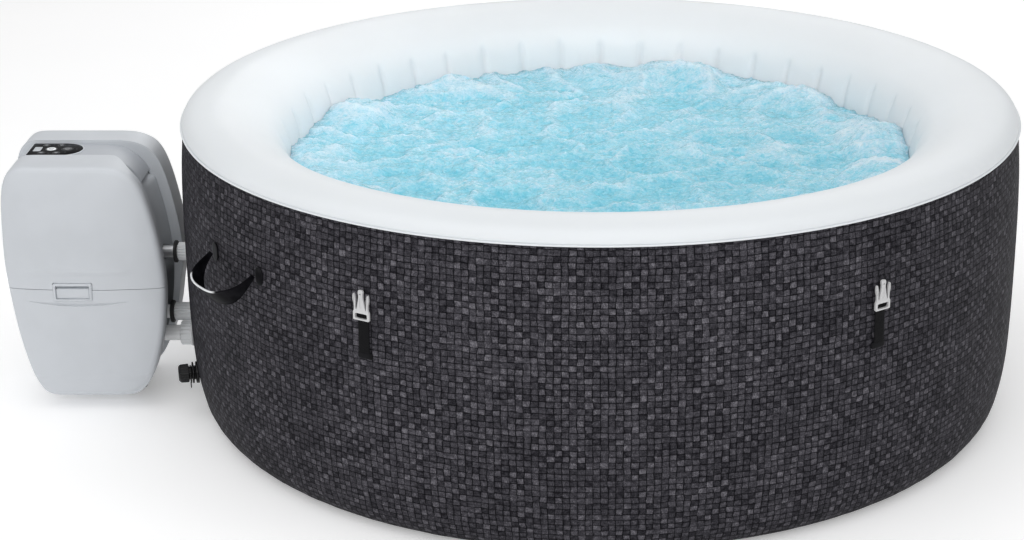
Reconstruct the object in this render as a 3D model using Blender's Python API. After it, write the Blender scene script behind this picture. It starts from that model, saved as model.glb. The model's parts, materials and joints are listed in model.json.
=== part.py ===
"""Round inflatable hot tub with an external heater, filter and bubble unit.

Metres, +Z up. Origin: centre of the tub's base on the ground. The front of the tub
is -Y, and the equipment unit stands at -X with its ports facing +X.
"""
import math

import bmesh
import bpy
from mathutils import Matrix, Vector

for old in list(bpy.data.objects):
    bpy.data.objects.remove(old, do_unlink=True)

# ------------------------------------------------------------------ shared dimensions
TUB_RADIUS = 0.900        # outside radius of the inflated wall
TUB_HEIGHT = 0.660        # ground to the crown of the rim
WELL_RADIUS = 0.666       # inner face of the inner wall
SEAM_Z = 0.6215           # where the printed wall meets the white rim
SKIN = 0.002              # laminate thickness
RING_STEPS = 48           # facets round every wall skin
LINER_TOP = 0.0030
SKIRT_Z = 0.0036          # foot of the inner wall and of the bubble duct
CLEAR = 0.0005            # gap between a tube and its hole

# Lid straps and carry handles; azimuths are degrees from +X
STRAP_AZIMUTHS = (-119.1, -54.5, 54.5, 119.1)
HANDLE_AZIMUTHS = {"handle_left": -142.5, "handle_right": 37.5}
STRAP_LOW, STRAP_HIGH = 0.385, 0.462
HANDLE_Z = 0.473
HANDLE_HALF = 0.084       # half the handle's length round the wall

# Valves in the wall
DRAIN_AZIMUTH, DRAIN_Z = 194.0, 0.100
DRAIN_TUBE_RADIUS = 0.0112
VALVE_AZIMUTH, VALVE_Z = 165.0, 0.450

# Ports between the tub and the unit, as (y, z)
OUTLET = (-0.060, 0.3195)     # heated water back to the tub
INLET = (-0.050, 0.1752)      # filtered water from the tub
AIR_PORT = (-0.070, 0.1323)   # air to the bubble duct
PIPE_RADIUS, PIPE_BORE = 0.0160, 0.0130
AIR_RADIUS, AIR_BORE = 0.0178, 0.0145
DUCT_PIPE_Z = 0.0255          # height at which the air pipe enters the duct

# Equipment unit
UNIT_X = -1.098           # middle of the unit
UNIT_MID_Z = 0.297
UNIT_HALF_WIDTH, UNIT_HALF_HEIGHT = 0.170, 0.266
UNIT_LOW_Z, UNIT_TOP_Z = 0.030, UNIT_MID_Z + UNIT_HALF_HEIGHT
FRONT_OPEN_Y, REAR_OPEN_Y = -0.103, -0.013      # where the two covers end
HINGE = (-0.0975, 0.030)  # (y, z) of the access door's hinge line
HINGE_BORE = 0.0028
DECK_TOP = UNIT_TOP_Z - 0.004
PANEL_Y = -0.058

IDENTITY = Matrix.Identity(4)
UP = Vector((0, 0, 1))


# ------------------------------------------------------------------ materials
def material(name, rgb, roughness, metallic=0.0):
    mat = bpy.data.materials.get(name)
    if mat:
        return mat
    mat = bpy.data.materials.new(name)
    mat.use_nodes = True
    shader = mat.node_tree.nodes["Principled BSDF"]
    shader.inputs["Base Color"].default_value = (*rgb, 1.0)
    shader.inputs["Roughness"].default_value = roughness
    shader.inputs["Metallic"].default_value = metallic
    return mat


PRINTED = material("printed_vinyl", rgb=(0.055, 0.053, 0.060), roughness=0.55)
WHITE = material("white_vinyl", rgb=(0.80, 0.82, 0.84), roughness=0.40)
INNER_GREY = material("brace_vinyl", rgb=(0.60, 0.62, 0.64), roughness=0.60)
BLACK_STRAP = material("black_webbing", rgb=(0.012, 0.012, 0.014), roughness=0.75)
BLACK_VINYL = material("black_vinyl", rgb=(0.012, 0.012, 0.015), roughness=0.30)
BUCKLE_GREY = material("buckle_plastic", rgb=(0.62, 0.62, 0.62), roughness=0.40)
CASE_GREY = material("case_plastic", rgb=(0.55, 0.57, 0.60), roughness=0.38)
DECK_GREY = material("deck_plastic", rgb=(0.45, 0.47, 0.50), roughness=0.40)
DARK_GREY = material("core_plastic", rgb=(0.16, 0.165, 0.17), roughness=0.50)
GLOSS_BLACK = material("gloss_black", rgb=(0.008, 0.008, 0.010), roughness=0.10)
KEY_WHITE = material("key_white", rgb=(0.85, 0.87, 0.88), roughness=0.30)
KEY_BLACK = material("key_black", rgb=(0.030, 0.030, 0.034), roughness=0.30)
RUBBER = material("black_rubber", rgb=(0.015, 0.015, 0.016), roughness=0.60)
PIPE_GREY = material("pipe_plastic", rgb=(0.60, 0.62, 0.64), roughness=0.35)
STEEL = material("steel", rgb=(0.55, 0.55, 0.56), roughness=0.30, metallic=1.0)
BOARD_GREEN = material("circuit_board", rgb=(0.02, 0.16, 0.06), roughness=0.45)
FILTER_BLUE = material("filter_paper", rgb=(0.75, 0.80, 0.86), roughness=0.80)
MOTOR_BLACK = material("motor_casing", rgb=(0.05, 0.05, 0.055), roughness=0.45)


# ------------------------------------------------------------------ frames
def along_x(x, y, z):
    """Frame whose local +Z is world +X, at a point."""
    return Matrix.Translation((x, y, z)) @ Matrix.Rotation(math.radians(90), 4, "Y")


def rotated(frame, degrees):
    """The frame turned about its own +Z."""
    return frame @ Matrix.Rotation(math.radians(degrees), 4, "Z")


def wall_frame(azimuth, radius, z):
    """Frame on the wall: local X runs round the wall, Y is up, Z points outwards."""
    angle = math.radians(azimuth)
    out = Vector((math.cos(angle), math.sin(angle), 0))
    frame = Matrix((UP.cross(out), UP, out)).transposed().to_4x4()
    frame.translation = out * radius + Vector((0, 0, z))
    return frame


# ------------------------------------------------------------------ mesh tools
def link_object(solid, name, mat, smooth=True):
    """Turn a BMesh into a linked object, leaving its normals alone."""
    mesh = bpy.data.meshes.new(name)
    solid.to_mesh(mesh)
    solid.free()
    obj = bpy.data.objects.new(name, mesh)
    bpy.context.scene.collection.objects.link(obj)
    if mat is not None:
        mesh.materials.append(mat)
    if smooth:
        mesh.shade_smooth()
        mesh.set_sharp_from_angle(angle=math.radians(35))
    return obj


def finish(solid, name, mat, smooth=True):
    """Face the normals outwards and make the object."""
    bmesh.ops.recalc_face_normals(solid, faces=solid.faces)
    if solid.calc_volume(signed=True) < 0:
        bmesh.ops.reverse_faces(solid, faces=solid.faces)
    return link_object(solid, name, mat, smooth)


def as_tool(obj):
    """Mark an object as a boolean helper."""
    obj.hide_render = True
    obj.display_type = "WIRE"
    return obj


def boolean(obj, tool, operation):
    as_tool(tool)
    mod = obj.modifiers.new("%s_%s" % (operation.lower(), tool.name), "BOOLEAN")
    mod.object = tool
    mod.operation = operation
    mod.solver = "EXACT"


def cut(obj, tool):
    boolean(obj, tool, "DIFFERENCE")


def unite(obj, tool):
    boolean(obj, tool, "UNION")


def merged(name, objects):
    """Several separate helper solids as one helper mesh."""
    solid = bmesh.new()
    for part in objects:
        solid.from_mesh(part.data)
        bpy.data.objects.remove(part, do_unlink=True)
    return as_tool(finish(solid, name, None, smooth=False))


def spun_ring(name, profile, mat, steps=RING_STEPS, hollow=None):
    """Closed (radius, z) profile turned a full circle about the tub's axis.
    hollow: a closed profile with as many points, bounding a void inside."""
    solid = bmesh.new()
    for section in (profile, hollow) if hollow else (profile,):
        rings = []
        for k in range(steps):
            angle = 2 * math.pi * k / steps
            cosine, sine = math.cos(angle), math.sin(angle)
            rings.append([solid.verts.new((radius * cosine, radius * sine, z))
                          for radius, z in section])
        for k in range(steps):
            this, after = rings[k], rings[(k + 1) % steps]
            for i in range(len(section)):
                j = (i + 1) % len(section)
                solid.faces.new((this[i], after[i], after[j], this[j]))
    if hollow is None:
        return finish(solid, name, mat)
    # the outer skin faces out, the hollow's skin faces into the void
    bmesh.ops.recalc_face_normals(solid, faces=solid.faces)
    solid.faces.ensure_lookup_table()
    bmesh.ops.reverse_faces(solid, faces=list(solid.faces)[len(solid.faces) // 2:])
    return link_object(solid, name, mat)


def turned(name, profile, mat, frame, steps=20, closed=False):
    """Profile of (radius, height) from axis to axis, turned about the frame's +Z.
    closed=True turns a closed profile that never meets the axis."""
    solid = bmesh.new()
    rings = []
    for radius, height in profile:
        if radius < 1e-9:
            rings.append([solid.verts.new((0, 0, height))])
        else:
            rings.append([solid.verts.new((radius * math.cos(2 * math.pi * k / steps),
                                           radius * math.sin(2 * math.pi * k / steps), height))
                          for k in range(steps)])
    pairs = list(zip(rings[:-1], rings[1:]))
    if closed:
        pairs.append((rings[-1], rings[0]))
    for low, high in pairs:
        for i in range(steps):
            j = (i + 1) % steps
            if len(low) == 1:
                solid.faces.new((low[0], high[j], high[i]))
            elif len(high) == 1:
                solid.faces.new((low[i], low[j], high[0]))
            else:
                solid.faces.new((low[i], low[j], high[j], high[i]))
    bmesh.ops.transform(solid, matrix=frame, verts=solid.verts)
    return finish(solid, name, mat)


def cylinder(name, radius, low, high, mat, frame, steps=20):
    """Solid cylinder on the frame's Z axis."""
    profile = [(0, low), (radius, low), (radius, high), (0, high)]
    return turned(name, profile, mat, frame, steps)


def round_cut(radius, low, high, frame, steps=20):
    return cylinder("cut", radius, low, high, None, frame, steps)


def box(name, low, high, mat, bevel=0.0, frame=IDENTITY):
    solid = bmesh.new()
    bmesh.ops.create_cube(solid, size=1.0)
    size = Vector(high) - Vector(low)
    middle = (Vector(high) + Vector(low)) / 2
    bmesh.ops.scale(solid, vec=size, verts=solid.verts)
    if bevel:
        bmesh.ops.bevel(solid, geom=list(solid.edges), offset=bevel, segments=2,
                        profile=0.5, affect="EDGES", clamp_overlap=True)
    bmesh.ops.translate(solid, vec=middle, verts=solid.verts)
    bmesh.ops.transform(solid, matrix=frame, verts=solid.verts)
    return finish(solid, name, mat)


def box_cut(low, high, frame=IDENTITY):
    return box("cut", low, high, None, frame=frame)


def prism(name, outline, low, high, mat, frame=IDENTITY, smooth=True):
    """Flat outline pushed from low to high along the frame's Z."""
    solid = bmesh.new()
    face = solid.faces.new([solid.verts.new((x, y, low)) for x, y in outline])
    made = bmesh.ops.extrude_face_region(solid, geom=[face])
    top = [item for item in made["geom"] if isinstance(item, bmesh.types.BMVert)]
    bmesh.ops.translate(solid, vec=(0, 0, high - low), verts=top)
    bmesh.ops.transform(solid, matrix=frame, verts=solid.verts)
    return finish(solid, name, mat, smooth)


def join_rows(solid, first, second):
    """Band of quads between two equal loops of vertices."""
    count = len(first)
    for i in range(count):
        j = (i + 1) % count
        solid.faces.new((first[i], first[j], second[j], second[i]))


def cap_row(solid, row, bump=0.0):
    """Fan of triangles over a loop; bump moves its centre along Y."""
    count = len(row)
    centre = sum((vert.co for vert in row), Vector()) / count + Vector((0, bump, 0))
    middle = solid.verts.new(centre)
    for i in range(count):
        solid.faces.new((row[i], row[(i + 1) % count], middle))


def loft(name, loops, mat, closed=False):
    """Skin through equal loops of points; the ends are capped, or joined if closed."""
    solid = bmesh.new()
    rows = [[solid.verts.new(point) for point in loop] for loop in loops]
    for first, second in zip(rows[:-1], rows[1:]):
        join_rows(solid, first, second)
    if closed:
        join_rows(solid, rows[-1], rows[0])
    else:
        cap_row(solid, rows[0])
        cap_row(solid, rows[-1])
    return finish(solid, name, mat)


def loft_sections(name, sections, mat, frame):
    """Closed loft through (outline, height) sections standing on the frame's Z axis."""
    loops = [[frame @ Vector((x, y, height)) for x, y in outline]
             for outline, height in sections]
    return loft(name, loops, mat, closed=True)


def ring_points(count, even_radius, odd_radius=None):
    """Points round a circle; odd ones may stand at another radius."""
    if odd_radius is None:
        odd_radius = even_radius
    points = []
    for k in range(count):
        radius = odd_radius if k % 2 else even_radius
        angle = 2 * math.pi * k / count
        points.append((radius * math.cos(angle), radius * math.sin(angle)))
    return points


def catmull_rom(before, start, end, after, t):
    """Point at share t of the curve from start to end."""
    return 0.5 * ((2 * start) + (end - before) * t
                  + (2 * before - 5 * start + 4 * end - after) * t * t
                  + (3 * start - before - 3 * end + after) * t ** 3)


def smooth_path(points, per):
    """Catmull-Rom curve through the points, with per steps to each span."""
    inner = [Vector(point) for point in points]
    controls = [2 * inner[0] - inner[1]] + inner + [2 * inner[-1] - inner[-2]]
    path = []
    for i in range(1, len(controls) - 2):
        for k in range(per):
            path.append(catmull_rom(*controls[i - 1:i + 3], k / per))
    path.append(controls[-2])
    return path


def circle_loops(path, radius, sides):
    """Circles square to the path, carried along it without twisting."""
    loops, side = [], None
    for i, point in enumerate(path):
        ahead = path[min(i + 1, len(path) - 1)] - path[max(i - 1, 0)]
        ahead.normalize()
        if side is None:
            side = ahead.cross(UP)
        side = (side - ahead * side.dot(ahead)).normalized()
        other = ahead.cross(side)
        loops.append([point + radius * (math.cos(2 * math.pi * k / sides) * side
                                        + math.sin(2 * math.pi * k / sides) * other)
                      for k in range(sides)])
    return loops


def pipe(name, path, outer_radius, bore, mat, sides):
    """Hollow pipe along a path, open at both ends."""
    outer = circle_loops(path, outer_radius, sides)
    inner = circle_loops(path, bore, sides)
    return loft(name, outer + inner[::-1], mat, closed=True)


# ------------------------------------------------------------------ tub skins
# (radius, z) of the outside of the wall, from the ground up to the seam
WALL_CURVE = [
    (0.826, 0.0), (0.850, 0.012), (0.868, 0.038), (0.880, 0.080), (0.892, 0.140),
    (0.898, 0.220), (TUB_RADIUS, 0.320), (TUB_RADIUS, 0.440), (0.8975, 0.530),
    (0.8935, 0.590), (0.890, SEAM_Z)]
# (radius, z) of the rim, from the seam over the crown and down into the well
RIM_CURVE = [
    (0.8915, SEAM_Z + 0.0006), (0.8855, 0.6390), (0.870, 0.6515), (0.845, 0.6590),
    (0.810, TUB_HEIGHT), (0.765, 0.6485), (0.725, 0.6285), (0.703, 0.6125),
    (0.685, 0.5900), (0.674, 0.5600), (0.6685, 0.5300)]
INNER_WALL_TOP = 0.5290
LINER_RADIUS = 0.8250
VALVE_HOLE_RADIUS = 0.0187
AIR_EXIT_Z = 0.0258       # centre of the air hole in the inner wall


def skin_profile(curve, back_start, back_end):
    """A curve and its copy offset by the skin thickness, as one closed profile.
    back_start and back_end are the copy's end points."""
    back = [back_start]
    for i in range(1, len(curve) - 1):
        along = (Vector(curve[i + 1]) - Vector(curve[i - 1])).normalized()
        radius, z = curve[i]
        back.append((radius - along.y * SKIN, z + along.x * SKIN))
    back.append(back_end)
    return curve + back[::-1]


def weld_pads():
    """Pads for the straps and handles, part of the wall laminate once welded."""
    pads = [box_cut((-0.017, -0.009, -0.0035), (0.017, 0.009, 0.0032),
                    wall_frame(azimuth, TUB_RADIUS, STRAP_LOW - 0.0135))
            for azimuth in STRAP_AZIMUTHS]
    offset = math.degrees((HANDLE_HALF + 0.004) / TUB_RADIUS)
    for azimuth in HANDLE_AZIMUTHS.values():
        for side in (-1, 1):
            pads.append(box_cut((-0.016, -0.020, -0.0035), (0.016, 0.020, 0.0017),
                                wall_frame(azimuth + side * offset, TUB_RADIUS, HANDLE_Z)))
    return merged("weld_pads_tool", pads)


def water_holes(low, high):
    """Cutters for both water pipes; low and high are measured from x = -0.65."""
    return [round_cut(PIPE_RADIUS + CLEAR, low, high, along_x(-0.65, *port))
            for port in (OUTLET, INLET)]


def drain_hole(low, high):
    """Cutter for the drain tube between two radii of the tub."""
    return round_cut(DRAIN_TUBE_RADIUS + CLEAR, low, high,
                     wall_frame(DRAIN_AZIMUTH, 0, DRAIN_Z), steps=16)


def make_outer_wall():
    foot, seam = WALL_CURVE[0], WALL_CURVE[-1]
    profile = skin_profile(WALL_CURVE, (foot[0], SKIN + 0.0005), (seam[0] - SKIN, SEAM_Z))
    wall = spun_ring("outer_wall", profile, PRINTED)
    unite(wall, weld_pads())
    holes = water_holes(-0.35, 0.05)
    holes.append(round_cut(AIR_RADIUS + CLEAR, -0.10, 0.10, along_x(-0.86, *AIR_PORT)))
    holes.append(drain_hole(0.62, 0.93))
    holes.append(round_cut(VALVE_HOLE_RADIUS, 0.85, 0.93,
                           wall_frame(VALVE_AZIMUTH, 0, VALVE_Z), steps=18))
    cut(wall, merged("outer_wall_holes", holes))


def make_top_rim():
    seam, lip = RIM_CURVE[0], RIM_CURVE[-1]
    profile = skin_profile(RIM_CURVE, (seam[0] - SKIN, seam[1]), (lip[0] + SKIN, lip[1]))
    spun_ring("top_rim", profile, WHITE)


def make_inner_wall():
    back = WELL_RADIUS + SKIN
    wall = spun_ring("inner_wall", [(WELL_RADIUS, SKIRT_Z), (WELL_RADIUS, INNER_WALL_TOP),
                                    (back, INNER_WALL_TOP), (back, SKIRT_Z)], WHITE)
    holes = water_holes(-0.06, 0.05)
    holes.append(round_cut(AIR_RADIUS + CLEAR, -0.05, 0.05,
                           along_x(-0.65, AIR_PORT[0], AIR_EXIT_Z)))
    holes.append(drain_hole(0.60, 0.72))
    cut(wall, merged("inner_wall_holes", holes))


def make_floor_liner():
    cylinder("floor_liner", LINER_RADIUS, 0.0, LINER_TOP, WHITE, IDENTITY, steps=RING_STEPS)


# ------------------------------------------------------------------ brace bands
BRACES = 44               # vertical brace bands inside the air chamber
BRACE_HALF = 0.0008       # half a band's thickness
TAPE_INNER, TAPE_OUTER = 0.6755, 0.6775         # radii of the weld tape
BRACE_REACH = 0.872       # radius of the bands' outer edges
BRACE_LOW, BRACE_HIGH = 0.125, 0.505
# Azimuth ranges without a band, where the pipes and valves pass
BLOCKED = [(181.5, 187.0), (DRAIN_AZIMUTH - 1.6, DRAIN_AZIMUTH + 1.6),
           (VALVE_AZIMUTH - 1.8, VALVE_AZIMUTH + 1.8)]


def brace_column(solid, azimuth):
    """Low and high vertices of one band: pairs at the tape's two faces, then the outer edge."""
    radii = [TAPE_INNER, TAPE_OUTER]
    if not any(low <= azimuth % 360 <= high for low, high in BLOCKED):
        radii.append(BRACE_REACH)
    angle = math.radians(azimuth)
    side = Vector((-math.sin(angle), math.cos(angle), 0)) * BRACE_HALF
    out = Vector((math.cos(angle), math.sin(angle), 0))
    return [[solid.verts.new(out * radius + side * sign + Vector((0, 0, z)))
             for radius in radii for sign in (-1, 1)]
            for z in (BRACE_LOW, BRACE_HIGH)]


def make_brace_bands():
    """A weld tape round the inner wall with one radial band per rib."""
    solid = bmesh.new()
    columns = [brace_column(solid, 180.0 + 360.0 / BRACES * i) for i in range(BRACES)]
    for i, (low, high) in enumerate(columns):
        caps, walls = [(0, 1, 3, 2)], [(0, 1)]
        if len(low) == 6:
            caps.append((2, 3, 5, 4))
            walls += [(2, 4), (3, 5), (4, 5)]
        else:
            walls.append((2, 3))
        for corners in caps:
            for level in (low, high):
                solid.faces.new([level[corner] for corner in corners])
        for start, end in walls:
            solid.faces.new((low[start], low[end], high[end], high[start]))
        # tape to the next band
        next_low, next_high = columns[(i + 1) % BRACES]
        for level, after in ((low, next_low), (high, next_high)):
            solid.faces.new((level[1], after[0], after[2], level[3]))
        for start, end in ((1, 0), (3, 2)):
            solid.faces.new((low[start], next_low[end], next_high[end], high[start]))
    bands = finish(solid, "brace_bands", INNER_GREY, smooth=False)
    cut(bands, merged("brace_holes", water_holes(-0.06, 0.02)))


# ------------------------------------------------------------------ bubble duct
# (radius, z) sections of the duct's outside and of its hollow
DUCT_OUTSIDE = [
    (0.604, SKIRT_Z), (0.602, 0.012), (0.612, 0.036), (0.630, 0.046), (0.650, 0.044),
    (0.659, 0.030), (0.659, SKIRT_Z)]
DUCT_HOLLOW = [
    (0.6065, 0.0061), (0.6055, 0.0125), (0.6145, 0.0340), (0.631, 0.0432), (0.6485, 0.0413),
    (0.6563, 0.0288), (0.6563, 0.0061)]
JETS = 16                             # air holes in the duct
JET_CIRCLE, JET_Z, JET_RADIUS = 0.607, 0.024, 0.003
JET_INWARD, JET_RISE = 0.923, 0.385   # direction of each jet, inwards and up


def make_air_jet_ring():
    duct = spun_ring("air_jet_ring", DUCT_OUTSIDE, WHITE, steps=36, hollow=DUCT_HOLLOW)
    holes = []
    for k in range(JETS):
        angle = math.radians(360.0 * (k + 0.25) / JETS)
        cosine, sine = math.cos(angle), math.sin(angle)
        aim = Vector((-JET_INWARD * cosine, -JET_INWARD * sine, JET_RISE))
        frame = aim.to_track_quat("Z", "Y").to_matrix().to_4x4()
        frame.translation = Vector((JET_CIRCLE * cosine, JET_CIRCLE * sine, JET_Z))
        holes.append(round_cut(JET_RADIUS, -0.006, 0.006, frame, steps=6))
    holes.append(round_cut(AIR_BORE, -0.012, 0.018,
                           along_x(-0.657, AIR_PORT[0], DUCT_PIPE_Z), steps=16))
    cut(duct, merged("jet_holes", holes))


# ------------------------------------------------------------------ pipes through the wall
# name: (port, x of the unit end, x of the tub end)
WATER_FITTINGS = {"outlet_wall_fitting": (OUTLET, -0.9217, -0.6455),
                  "inlet_wall_fitting": (INLET, -0.9391, -0.6370)}
# (x, z) of the air pipe: a straight start, then a drop to the duct
AIR_START = [(-0.9110, AIR_PORT[1]), (-0.880, AIR_PORT[1])]
AIR_DROP = [(-0.845, AIR_PORT[1]), (-0.805, 0.118), (-0.770, 0.080), (-0.735, 0.042),
            (-0.700, 0.0262)]
AIR_END = (-0.6600, DUCT_PIPE_Z)

# (radius, x) of the debris screen over the water outlet
SCREEN_PROFILE = [(0, -0.6360), (0.030, -0.6360), (0.038, -0.6390), (0.038, -0.6450),
                  (0.0, -0.6450)]
# (height from the middle, half width) of the slots across it
SCREEN_SLOTS = [(-0.018, 0.016), (-0.009, 0.022), (0.0, 0.025), (0.009, 0.022), (0.018, 0.016)]
SLOT_HALF_HEIGHT = 0.0022


def make_water_fittings():
    for name, (port, start, end) in WATER_FITTINGS.items():
        profile = [(PIPE_RADIUS, start), (PIPE_RADIUS, end), (PIPE_BORE, end),
                   (PIPE_BORE, start)]
        turned(name, profile, PIPE_GREY, along_x(0, *port), closed=True)


def make_air_fitting():
    def placed(stations):
        return [Vector((x, AIR_PORT[0], z)) for x, z in stations]

    path = placed(AIR_START) + smooth_path(placed(AIR_DROP), 2) + placed([AIR_END])
    pipe("air_wall_fitting", path, AIR_RADIUS, AIR_BORE, PIPE_GREY, sides=14)


def make_outlet_screen():
    screen = turned("outlet_screen", SCREEN_PROFILE, PIPE_GREY, along_x(0, *OUTLET), steps=24)
    y, z = OUTLET
    slots = [box_cut((-0.66, y - half_width, z + rise - SLOT_HALF_HEIGHT),
                     (-0.62, y + half_width, z + rise + SLOT_HALF_HEIGHT))
             for rise, half_width in SCREEN_SLOTS]
    cut(screen, merged("screen_slots", slots))


# ------------------------------------------------------------------ filter
FILTER_X = -0.6360        # back of the housing, on the inner wall
FILTER_RADIUS, FILTER_INSIDE, FILTER_SOCKET = 0.062, 0.0592, 0.0135
FILTER_DEPTH, FILTER_FLOOR = 0.090, 0.0035
PLEATS = 24
PLEAT_VALLEY, PLEAT_CREST, CARTRIDGE_BORE = 0.0445, 0.0525, 0.019
CARTRIDGE_START, CARTRIDGE_END = FILTER_X + 0.0060, FILTER_X + 0.0840
# (radius, distance from the housing's back)
FILTER_CAP_PROFILE = [
    (0, 0.0845), (0.0570, 0.0845), (0.0570, 0.0904), (FILTER_RADIUS, 0.0904),
    (FILTER_RADIUS, 0.0975), (0.058, 0.0995), (0.0, 0.0995)]


def make_filter_housing():
    front, floor = FILTER_X + FILTER_DEPTH, FILTER_X + FILTER_FLOOR
    profile = [(FILTER_SOCKET, FILTER_X), (FILTER_RADIUS, FILTER_X), (FILTER_RADIUS, front),
               (FILTER_INSIDE, front), (FILTER_INSIDE, floor), (FILTER_SOCKET, floor)]
    housing = turned("filter_housing", profile, PIPE_GREY, along_x(0, *INLET), steps=28,
                     closed=True)
    middle = along_x(FILTER_X + FILTER_DEPTH / 2, *INLET)
    windows = [box_cut((0.050, -0.008, -0.026), (0.070, 0.008, 0.026),
                       rotated(middle, 60 * k + 30)) for k in range(6)]
    cut(housing, merged("filter_windows", windows))


def make_filter_cartridge():
    """Pleated ring with a round bore."""
    star = ring_points(2 * PLEATS, PLEAT_VALLEY, PLEAT_CREST)
    bore = ring_points(2 * PLEATS, CARTRIDGE_BORE)
    loft_sections("filter_cartridge",
                  [(star, CARTRIDGE_START), (star, CARTRIDGE_END),
                   (bore, CARTRIDGE_END), (bore, CARTRIDGE_START)],
                  FILTER_BLUE, along_x(0, *INLET))


def make_filter_cap():
    frame = along_x(FILTER_X, *INLET)
    cap = turned("filter_cap", FILTER_CAP_PROFILE, PIPE_GREY, frame, steps=28)
    vents = [box_cut((0.022, -0.004, 0.07), (0.048, 0.004, 0.11), rotated(frame, 60 * k))
             for k in range(6)]
    cut(cap, merged("cap_vents", vents))


# ------------------------------------------------------------------ union nuts and seals
# name, port, x of both ends, outside radius, pipe radius, ribs
UNION_NUTS = [
    ("outlet_union_nut", OUTLET, -0.9212, -0.9012, 0.0200, PIPE_RADIUS, 12),
    ("inlet_union_nut", INLET, -0.9386, -0.9015, 0.0200, PIPE_RADIUS, 12),
    ("air_union_nut", AIR_PORT, -0.9240, -0.9005, 0.0265, AIR_RADIUS, 10)]
NUT_GAP = 0.0006          # between the nut and its pipe
RIB_DEPTH = 0.0016
NUT_LEAD, NUT_LEAD_LENGTH = 0.003, 0.0022       # taper at the nut's ends

# name, port, x of both ends, outside radius
SEALS = [("outlet_seal", OUTLET, -0.9290, -0.9222, 0.0245),
         ("inlet_seal", INLET, -0.9470, -0.9396, 0.0250)]
SEAL_BORE = 0.0140


def make_union_nuts():
    for name, port, start, end, radius, pipe_radius, ribs in UNION_NUTS:
        count = ribs * 2
        ribbed = ring_points(count, radius - RIB_DEPTH, radius)
        lead = ring_points(count, radius - NUT_LEAD)
        bore = ring_points(count, pipe_radius + NUT_GAP)
        loft_sections(name, [(lead, start), (ribbed, start + NUT_LEAD_LENGTH),
                             (ribbed, end - NUT_LEAD_LENGTH), (lead, end),
                             (bore, end), (bore, start)], PIPE_GREY, along_x(0, *port))


def make_seals():
    for name, port, start, end, radius in SEALS:
        shoulder = radius - 0.0010
        profile = [(SEAL_BORE, start), (shoulder, start), (radius, start + 0.0013),
                   (radius, end - 0.0013), (shoulder, end), (SEAL_BORE, end)]
        turned(name, profile, RUBBER, along_x(0, *port), closed=True)


# ------------------------------------------------------------------ valves
# All profiles are (radius, distance from the tub's axis)
DRAIN_BORE = 0.008
DRAIN_BODY = [
    (DRAIN_BORE, 0.6600), (DRAIN_TUBE_RADIUS, 0.6600), (DRAIN_TUBE_RADIUS, 0.8930),
    (0.0235, 0.8930), (0.0235, 0.8965), (0.0150, 0.8975), (0.0150, 0.9000), (0.0235, 0.9008),
    (0.0235, 0.9040), (0.0140, 0.9048), (0.0140, 0.9240), (DRAIN_BORE, 0.9240)]
DRAIN_CAP = [
    (0, 0.9330), (0.0150, 0.9330), (0.0190, 0.9300), (0.0198, 0.9120), (0.0146, 0.9100),
    (0.0146, 0.9250), (0, 0.9250)]
TETHER_RADIUS, TETHER_THICK_RADIUS = 0.0195, 0.0012
TETHER_DROP, TETHER_OUT = 0.0035, 0.9074
VALVE_BODY = [
    (0.0135, 0.8650), (0.0180, 0.8650), (0.0180, 0.9010), (0.0320, 0.9010), (0.0320, 0.9030),
    (0.0230, 0.9052), (0.0135, 0.9052)]
VALVE_CAP = [(0, 0.9057), (0.0215, 0.9057), (0.0225, 0.9075), (0.0200, 0.9110), (0, 0.9110)]
TAB_END = 0.0300          # far edge of the cap's tab, where its barrel lies


def make_drain_valve():
    frame = wall_frame(DRAIN_AZIMUTH, 0, DRAIN_Z)
    turned("drain_valve_body", DRAIN_BODY, BLACK_VINYL, frame, closed=True)
    turned("drain_valve_cap", DRAIN_CAP, BLACK_VINYL, frame)
    loops = []
    for k in range(20):
        around = 2 * math.pi * k / 20
        loop = []
        for j in range(6):
            section = math.pi * j / 3
            radius = TETHER_RADIUS + TETHER_THICK_RADIUS * math.cos(section)
            loop.append(frame @ Vector((radius * math.cos(around),
                                        radius * math.sin(around) - TETHER_DROP,
                                        TETHER_OUT + TETHER_THICK_RADIUS * math.sin(section))))
        loops.append(loop)
    loft("drain_cap_tether", loops, BLACK_VINYL, closed=True)


def make_inflation_valve():
    frame = wall_frame(VALVE_AZIMUTH, 0, VALVE_Z)
    turned("inflation_valve_body", VALVE_BODY, BLACK_VINYL, frame, steps=24, closed=True)
    cap = turned("inflation_valve_cap", VALVE_CAP, BLACK_VINYL, frame, steps=24)
    unite(cap, box("cap_tab_tool", (-0.006, 0.018, 0.9060), (0.006, TAB_END, 0.9085), None,
                   frame=frame))
    barrel_frame = frame @ along_x(0, TAB_END, 0.9075)
    unite(cap, cylinder("cap_barrel_tool", 0.0020, -0.007, 0.007, None, barrel_frame, steps=10))


# ------------------------------------------------------------------ carry handles
HANDLE_AXIS_RADIUS = 0.907
HANDLE_REACH, HANDLE_DROOP = 0.074, 35.0        # loop depth, degrees below level
HANDLE_SPANS = 20
HANDLE_END_HALF, HANDLE_GROWTH = 0.0048, 0.0125  # half width at the ends, added in the middle
HANDLE_HALF_THICK = 0.0022
# Band section as shares of (half width, half thickness)
HANDLE_SECTION = [(-1, -0.6), (-0.85, -1), (0.85, -1), (1, -0.6), (1, 0.6), (0.85, 1),
                  (-0.85, 1), (-1, 0.6)]


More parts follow.
